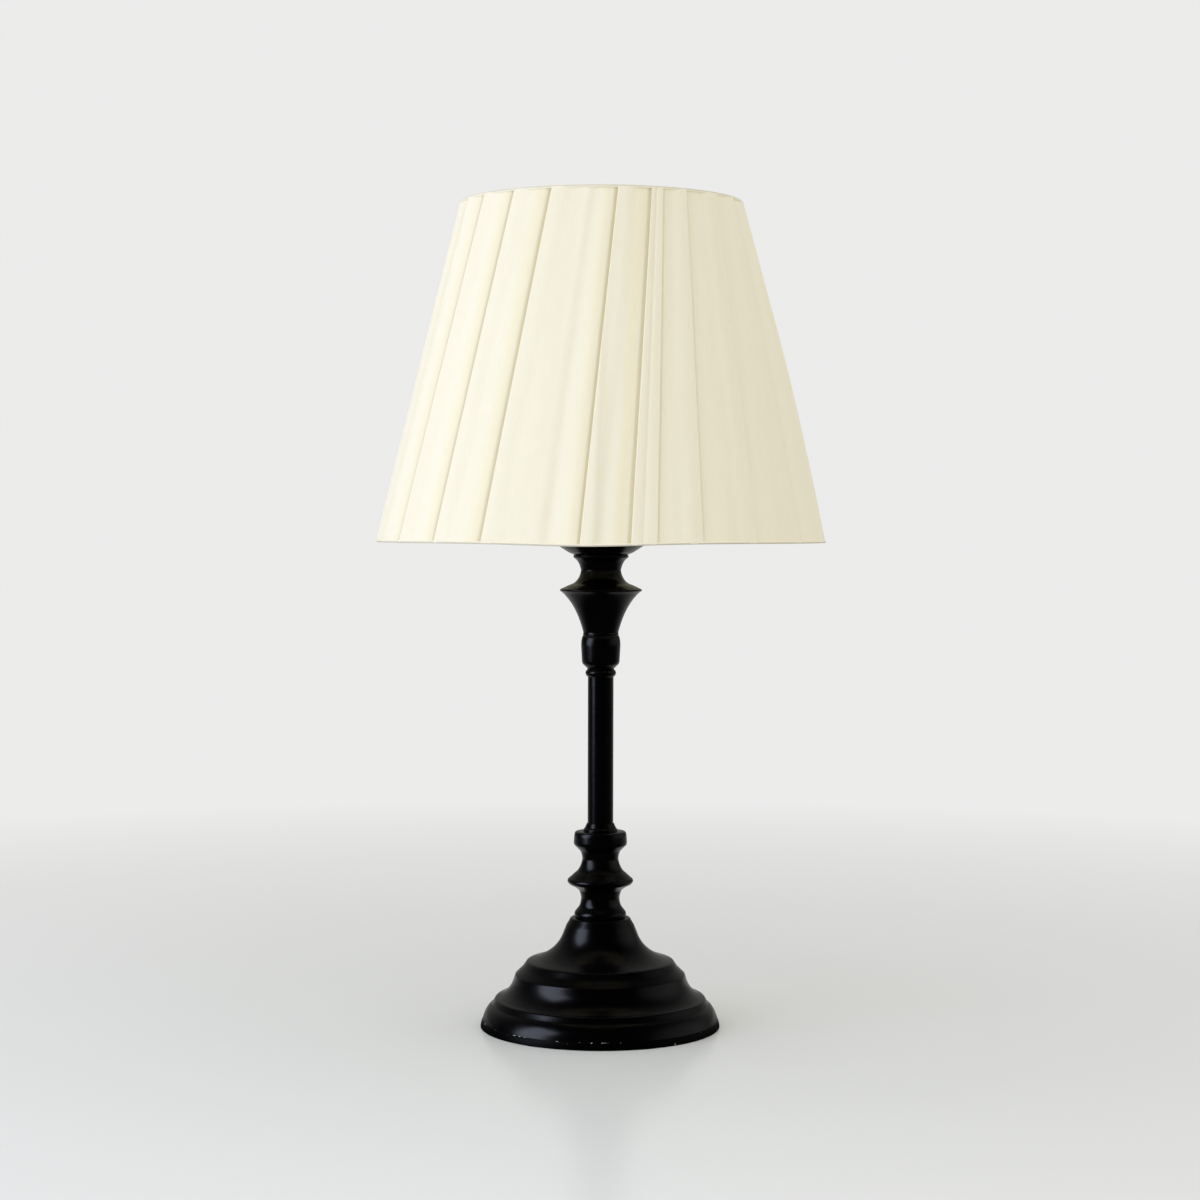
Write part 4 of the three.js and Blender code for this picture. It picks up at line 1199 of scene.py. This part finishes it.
def make_frame_wires():
    low_radius, low_height, wire = swept_ring("frame_bottom_ring", SHADE_SEGMENTS)
    high_radius, high_height, _ = swept_ring("frame_top_ring", SHADE_SEGMENTS)
    for i in range(RIBS):
        angle = 2 * math.pi * (i + 0.5) / RIBS
        ends = [at_angle(low_radius, angle, low_height), at_angle(high_radius, angle, high_height)]
        swept(f"rib_{i + 1}_fine", ends, wire, f"frame_rib_{i + 1}")
    make_gallery(low_radius - wire, low_height)


def make_gallery(reach, foot_height):
    """Plate ring between the shade rings, with three wires down to the bottom ring."""
    low_ring_edge = reach_of("lower_shade_ring")
    low = high_of("lower_shade_ring") + SEAT_GAP
    high = low_of("upper_shade_ring") - SEAT_GAP
    bore = reach_of("holder_shell") + PLATE_CLEAR
    outer = low_ring_edge + PLATE_REACH
    plate = np.array([(bore, low), (outer, low), (outer, high), (bore, high)])
    points, faces = lathe_mesh(softened(plate, PLATE_CORNER), COLUMN_SEGMENTS)
    add_piece("gallery_plate", points, faces, ["shade_gallery"])
    height = (low + high) / 2
    arm = [
        (low_ring_edge + ARM_RADIUS, height),
        (outer + ARM_RADIUS, height),
        (reach - ARM_LEVEL, foot_height),
        (reach, foot_height),
    ]
    bent = softened(np.array(arm), ARM_BEND)
    for i in range(ARMS):
        angle = math.pi / 2 + 2 * math.pi * i / ARMS
        path = [at_angle(r, angle, z) for r, z in bent]
        swept(f"gallery_arm_{i + 1}", path, ARM_RADIUS, "shade_gallery")


# Lampholder: a cap that flares from its foot, then a shell whose skirt is threaded
HOLDER_FOOT = 9 * MM
HOLDER_FOOT_HEIGHT = 2 * MM
HOLDER_FLARE = 8.8 * MM
HOLDER_FLARE_BEND = -0.25
HOLDER_CORNER = 0.5 * MM
HOLDER_WALL = 2.5 * MM
HOLDER_LIP = 1.8 * MM
HOLDER_BOSS = 8 * MM
HOLDER_FLOOR = 4.2 * MM
HOLDER_SHOULDER = 13 * MM
SKIRT_PITCH = 2.6 * MM
SKIRT_DEPTH = 0.75 * MM
SKIRT_PLAIN_DEPTH = 0.3 * MM
SKIRT_ROWS = 150
SKIRT_ENDS = 3 * MM
SKIRT_WALL = 2.2 * MM
SKIRT_LIP = 2 * MM
# Shade rings: a hub, and a flange whose edge is fluted for the fingers
FLANGE = 2 * MM
FLANGE_REACH = 4.8 * MM
FLUTES = 30
FLUTE_DEPTH = 0.5 * MM
FLUTE_REACH = 3 * MM
RING_SEGMENTS = 320
RING_CORNER = 0.3 * MM
# How near the skirt's radius its outside is told by
SKIRT_SKIN = 0.1 * MM
# Bore through a wall: its sides, and how far out its cutter goes as a share of the wall's radius
BORE_SIDES = 48
BORE_END = 1.2


def cut(piece, points, faces):
    """Takes a closed cutter away from a piece."""
    mesh = bpy.data.meshes.new("cutter")
    mesh.from_pydata([tuple(point) for point in points], [], faces)
    cutter = bpy.data.objects.new("cutter", mesh)
    bpy.context.scene.collection.objects.link(cutter)
    modifier = piece.modifiers.new("cut", "BOOLEAN")
    modifier.operation = "DIFFERENCE"
    modifier.solver = "EXACT"
    modifier.object = cutter
    graph = bpy.context.evaluated_depsgraph_get()
    result = bpy.data.meshes.new_from_object(piece.evaluated_get(graph))
    piece.modifiers.clear()
    old = piece.data
    piece.data = result
    bpy.data.meshes.remove(old)
    bpy.data.objects.remove(cutter)
    bpy.data.meshes.remove(mesh)


def bore_along_y(radius, height, wall):
    """Cylinder through the back of a wall of a given radius, as points and faces."""
    turn = all_round(BORE_SIDES)
    ends = (wall / 2, wall * BORE_END)
    points = [(radius * math.cos(a), y, height + radius * math.sin(a)) for y in ends for a in turn]
    return points, tube_faces(len(ends), BORE_SIDES)


def helix(angles, height, pitch):
    """Height of a rounded thread, from 0 in its root to 1 on its crest."""
    return 0.5 - 0.5 * np.cos(2 * math.pi * height / pitch - angles)


def between(height, low, high, reach):
    """1 between two heights, easing to 0 at both over a reach."""
    return eased((height - low) / reach) * eased((high - height) / reach)


def make_holder():
    skirt = reach_of("holder_shell")
    low, shell_low, top = low_of("holder_cap"), low_of("holder_shell"), high_of("holder_cap")
    steps = (
        step(0, HOLDER_FOOT_HEIGHT),
        step(skirt - HOLDER_FOOT, HOLDER_FLARE, HOLDER_FLARE_BEND),
        step(0, shell_low - low - HOLDER_FOOT_HEIGHT - HOLDER_FLARE),
    )
    outer = softened(draw(HOLDER_FOOT, low, steps), HOLDER_CORNER)
    seat = skirt - HOLDER_WALL
    bore = seat - HOLDER_LIP
    inside = [
        (seat, shell_low),
        (seat, top),
        (bore, top),
        (bore, low + HOLDER_SHOULDER),
        (HOLDER_BOSS, low + HOLDER_FLOOR),
        (COLUMN_BORE, low + HOLDER_FLOOR),
        (COLUMN_BORE, low),
    ]
    cap = lathe("holder_cap", [*outer, *inside], COLUMN_SEGMENTS)
    screw_low, screw_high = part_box("cap_grub_screw")
    height, radius = (screw_low.z + screw_high.z) / 2, (screw_high.z - screw_low.z) / 2
    cut(cap, *bore_along_y(radius + SEAT_GAP, height, skirt))
    make_skirt(skirt)
    for node in ("lower_shade_ring", "upper_shade_ring"):
        make_threaded_ring(node, skirt)


def make_skirt(skirt):
    low, high = low_of("holder_shell"), high_of("holder_shell")
    bore, mouth = skirt - SKIRT_WALL, reach_of("screw_liner") + SEAT_GAP
    outline = [(skirt, z) for z in np.linspace(low, high, SKIRT_ROWS)]
    outline += [(mouth, high), (mouth, high - SKIRT_LIP), (bore, high - SKIRT_LIP), (bore, low)]

    def thread(angles, radius, height):
        if radius < skirt - SKIRT_SKIN:
            return 0
        ends = between(height, low, high, SKIRT_ENDS)
        depth = SKIRT_DEPTH * (1 - helix(angles, height, SKIRT_PITCH))
        return -depth * ends - (1 - ends) * SKIRT_PLAIN_DEPTH

    lathe("holder_shell", outline, COLUMN_SEGMENTS, thread)


def make_threaded_ring(node, skirt):
    low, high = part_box(node)
    bore, edge = skirt + SEAT_GAP, high.x
    hub = edge - FLANGE_REACH
    flange_on_top = node == "lower_shade_ring"
    seam = high.z - FLANGE if flange_on_top else low.z + FLANGE
    below, above = (hub, edge) if flange_on_top else (edge, hub)
    corners = [(bore, low.z), (below, low.z), (below, seam), (above, seam)]
    corners += [(above, high.z), (bore, high.z)]

    def flutes(angles, radius, height):
        depth = FLUTE_DEPTH * eased((radius - edge + FLUTE_REACH) / FLUTE_REACH)
        return -depth * (0.5 - 0.5 * np.cos(FLUTES * angles)) ** 2

    lathe(node, softened(np.array(corners), RING_CORNER), RING_SEGMENTS, flutes)


# Bulb: its cap and glass, and the liner that the cap screws into
BULB_SEGMENTS = 96
CAP_PITCH = 25.4 / 7 * MM
CAP_THREAD = 0.8 * MM
CAP_ROWS = 90
CAP_FOOT = 8 * MM
CAP_COLLAR = 4 * MM
CAP_WALL = 0.5 * MM
CAP_INSET = 0.9 * MM
# How near the cap's radius its threaded wall is told by
CAP_SKIN = 2 * MM
THREAD_ENDS = 2 * MM
LINER_THREAD = 0.3 * MM
LINER_WALL = 0.3 * MM
GLASS_WALL = 0.8 * MM
GLASS_SOFT = 2.2 * MM
GLASS_NECK_SHARE = 0.925
GLASS_NECK = 12 * MM
GLASS_SWELL = 18 * MM
GLASS_TAPER = 30 * MM
GLASS_TAPERED = 8.3 * MM
GLASS_TAPER_BEND = 0.7
GLASS_TIP = 15 * MM
GLASS_TIP_RADIUS = 1.6 * MM
GLASS_TIP_BEND = -0.2
# Round end of the tip, as radius and height over the tip, and how near the axis its inside comes
GLASS_END = ((1.2 * MM, -0.3 * MM), (0.6 * MM, 0), (0, 0.1 * MM))
GLASS_INSIDE_END = 2 * MM


def make_bulb():
    make_bulb_cap()
    make_liner()
    neck = reach_of("bulb_cap") * GLASS_NECK_SHARE
    wide = reach_of("bulb_glass")
    steps = (
        step(0, GLASS_NECK),
        step(wide - neck, GLASS_SWELL),
        step(-GLASS_TAPERED, GLASS_TAPER, GLASS_TAPER_BEND),
        step(GLASS_TIP_RADIUS - wide + GLASS_TAPERED, GLASS_TIP, GLASS_TIP_BEND),
    )
    outside = softened(draw(neck, low_of("bulb_glass"), steps), GLASS_SOFT)
    outside[-1][0] = GLASS_TIP_RADIUS
    outside[0][0] = neck
    inside = outside - (GLASS_WALL, 0)
    inside = inside[inside[:, 0] > GLASS_INSIDE_END]
    end = np.array(GLASS_END) + (0, outside[-1][1])
    outline = [(0, inside[-1][1]), *inside[::-1], *outside[:-1], *end]
    lathe("bulb_glass", outline, BULB_SEGMENTS)
    make_filaments()


def make_bulb_cap():
    low, high = low_of("bulb_cap"), high_of("bulb_cap")
    radius = reach_of("bulb_cap")
    collar = low + CAP_COLLAR
    heights = np.linspace(collar, high, CAP_ROWS)
    outline = [(CAP_FOOT - CAP_WALL, low), (CAP_FOOT, low)]
    outline += [(radius, z) for z in heights]
    outline += [(radius - CAP_WALL - CAP_INSET * (z < high), z) for z in heights[::-1]]
    outline += [(CAP_FOOT - CAP_WALL, low + CAP_WALL)]

    def thread(angles, ring, height):
        if ring < radius - CAP_SKIN:
            return 0
        ends = between(height, collar, high - THREAD_ENDS, THREAD_ENDS)
        return -CAP_THREAD * (1 - helix(angles, height, CAP_PITCH)) * ends

    lathe("bulb_cap", outline, BULB_SEGMENTS, thread)


def make_liner():
    low, high = low_of("screw_liner"), high_of("screw_liner")
    outer = reach_of("screw_liner")
    heights = np.linspace(low, high, CAP_ROWS)
    outline = [(outer, z) for z in heights] + [(outer - LINER_WALL, z) for z in heights[::-1]]

    def thread(angles, radius, height):
        ends = between(height, low, high, THREAD_ENDS)
        return -LINER_THREAD * (1 - helix(angles, height, CAP_PITCH)) * ends

    lathe("screw_liner", outline, BULB_SEGMENTS, thread)


# Glass mount and the filaments round it
MOUNT_FOOT = 1 * MM
MOUNT_NECK = 4 * MM
MOUNT_FLARE = 5 * MM
MOUNT_FLARE_BEND = 0.5
MOUNT_TAPER = 2 * MM
MOUNT_CORNER = 0.5 * MM
FILAMENTS = 4
FILAMENT_SIDES = 24
FILAMENT_CORNER = 0.25 * MM
BRIDGE_SIDES = 48


def make_filaments():
    low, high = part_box("bulb_mount")
    foot, height = high.x, high.z - low.z
    steps = (
        step(0, MOUNT_FOOT),
        step(MOUNT_NECK - foot, MOUNT_FLARE, MOUNT_FLARE_BEND),
        step(-MOUNT_TAPER, height - MOUNT_FOOT - MOUNT_FLARE),
    )
    outer = softened(draw(foot, low.z, steps), MOUNT_CORNER)
    lathe("bulb_mount", [(0, low.z), *outer, (0, high.z)], BULB_SEGMENTS)
    for i in range(FILAMENTS):
        node = f"bulb_filament_{i + 1}"
        low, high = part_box(node)
        middle = (low + high) / 2
        radius = (high.y - low.y) / 2 if i % 2 == 0 else (high.x - low.x) / 2
        outline = disc_outline(low.z, high.z, radius, FILAMENT_CORNER)
        points, faces = lathe_mesh(outline, FILAMENT_SIDES)
        points = [(x + middle.x, y + middle.y, z) for x, y, z in points]
        add_piece(f"{node}_fine", points, faces, [node])
    swept_ring("filament_bridge", BRIDGE_SIDES)


# Underside and cord inlet
INLET_BORE = 2.6 * MM
INLET_WALL = 1 * MM
INLET_FLANGE = 1 * MM
INLET_EDGE = 0.3 * MM
PAD_CORNER = 0.3 * MM


def make_inlet(dome):
    """Bush whose flange follows the dome; the dome has a hole for it."""
    outer = dome_outlines()[0]
    low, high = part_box("cord_inlet")
    height = (low.z + high.z) / 2
    neck = INLET_BORE + INLET_WALL
    cut(dome, *bore_along_y(neck + SEAT_GAP, height, DOME_FOOT_RADIUS))
    raised = SEAT_GAP + INLET_FLANGE
    flange = neck + INLET_FLANGE
    profile = [
        (INLET_BORE, None),
        (INLET_BORE, raised - INLET_EDGE),
        (INLET_BORE + INLET_EDGE, raised),
        (flange - INLET_EDGE, raised),
        (flange, raised - INLET_EDGE),
        (flange, SEAT_GAP),
        (neck, SEAT_GAP),
        (neck, None),
    ]
    points = []
    for ring, lift in profile:
        for angle in all_round(BORE_SIDES):
            x, z = ring * math.cos(angle), height + ring * math.sin(angle)
            surface = math.sqrt(radius_at(outer, z) ** 2 - x**2)
            points.append((x, low.y if lift is None else surface + lift, z))
    faces = tube_faces(len(profile), BORE_SIDES, closed=True)
    add_piece("cord_inlet_fine", points, faces, ["cord_inlet"])


def make_pad():
    low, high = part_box("base_pad")
    pad = lathe("base_pad", disc_outline(low.z, high.z, high.x, PAD_CORNER), BASE_SEGMENTS)


# Floor
FLOOR_COLOR = (0.87, 0.89, 0.9)
FLOOR_MOTTLE = 0.985
FLOOR_SIZE = 30
FADE_START = 0.22
FADE_END = 1.1
# Gloss shows the floor plain at the back and dark in front: where it turns dark, as a share of the
# way to the back, where it is darkest, and how dark
DARK_FROM = 0.75
DARK_TO = 0.1
DARK_SHARE = 0.92


def make_floor():
    """Pale table top that fades into the backdrop away from the lamp, and is clear from below."""
    finish = Finish("floor", FLOOR_COLOR, 0.2, Specular_IOR_Level=0.7)
    grain = finish.noise(14, detail=4)
    finish.color(finish.mixed(grain, FLOOR_COLOR, tuple(FLOOR_MOTTLE * c for c in FLOOR_COLOR)))
    place = finish.place()
    distance = finish.node("ShaderNodeVectorMath", {0: place}, output="Value", operation="LENGTH")
    heading = finish.node("ShaderNodeVectorMath", {0: place}, operation="NORMALIZE")
    ahead = finish.node("ShaderNodeSeparateXYZ", {0: heading}, output="Y")
    below = finish.node("ShaderNodeNewGeometry", {}, output="Backfacing")
    far = finish.ranged(distance, FADE_START, FADE_END)
    seen = finish.is_ray("Camera")
    dark = finish.times(finish.ranged(ahead, DARK_FROM, DARK_TO, 0, DARK_SHARE), finish.is_ray("Glossy"))

    def covered(factor, under, over):
        return finish.node("ShaderNodeMixShader", {0: factor, 1: under, 2: over})

    def glow(color):
        return finish.node("ShaderNodeEmission", {"Color": (*color, 1)})

    surface = covered(finish.times(far, seen), finish.shader.outputs[0], glow(BACKDROP))
    surface = covered(dark, surface, glow(DARK_ROOM))
    clear = finish.node("ShaderNodeBsdfTransparent", {})
    surface = covered(finish.times(below, seen), surface, clear)
    finish.link(surface, finish.tree.nodes["Material Output"].inputs["Surface"])
    half = FLOOR_SIZE / 2
    corners = [(-half, -half, 0), (half, -half, 0), (half, half, 0), (-half, half, 0)]
    mesh = bpy.data.meshes.new("floor")
    mesh.from_pydata(corners, [], [(0, 1, 2, 3)])
    mesh.materials.append(finish.material)
    floor = bpy.data.objects.new("floor", mesh)
    bpy.context.scene.collection.objects.link(floor)
    return floor


def keep_from(light, thing):
    """The light doesn't reach the thing, so its panes don't mirror in it."""
    skipped = bpy.data.collections.new(f"{light.name}_skips")
    skipped.objects.link(thing)
    skipped.collection_objects[0].light_linking.link_state = "EXCLUDE"
    light.light_linking.receiver_collection = skipped


make_camera()
panes = make_lights()
make_world()
dress_cad_nodes()
make_inlet(make_dome())
make_foot_ring()
make_pad()
make_column()
make_drip_cup()
make_holder()
make_bulb()
make_frame_wires()
make_shade()
keep_from(panes, make_floor())

bpy.context.scene.view_settings.view_transform = "Standard"
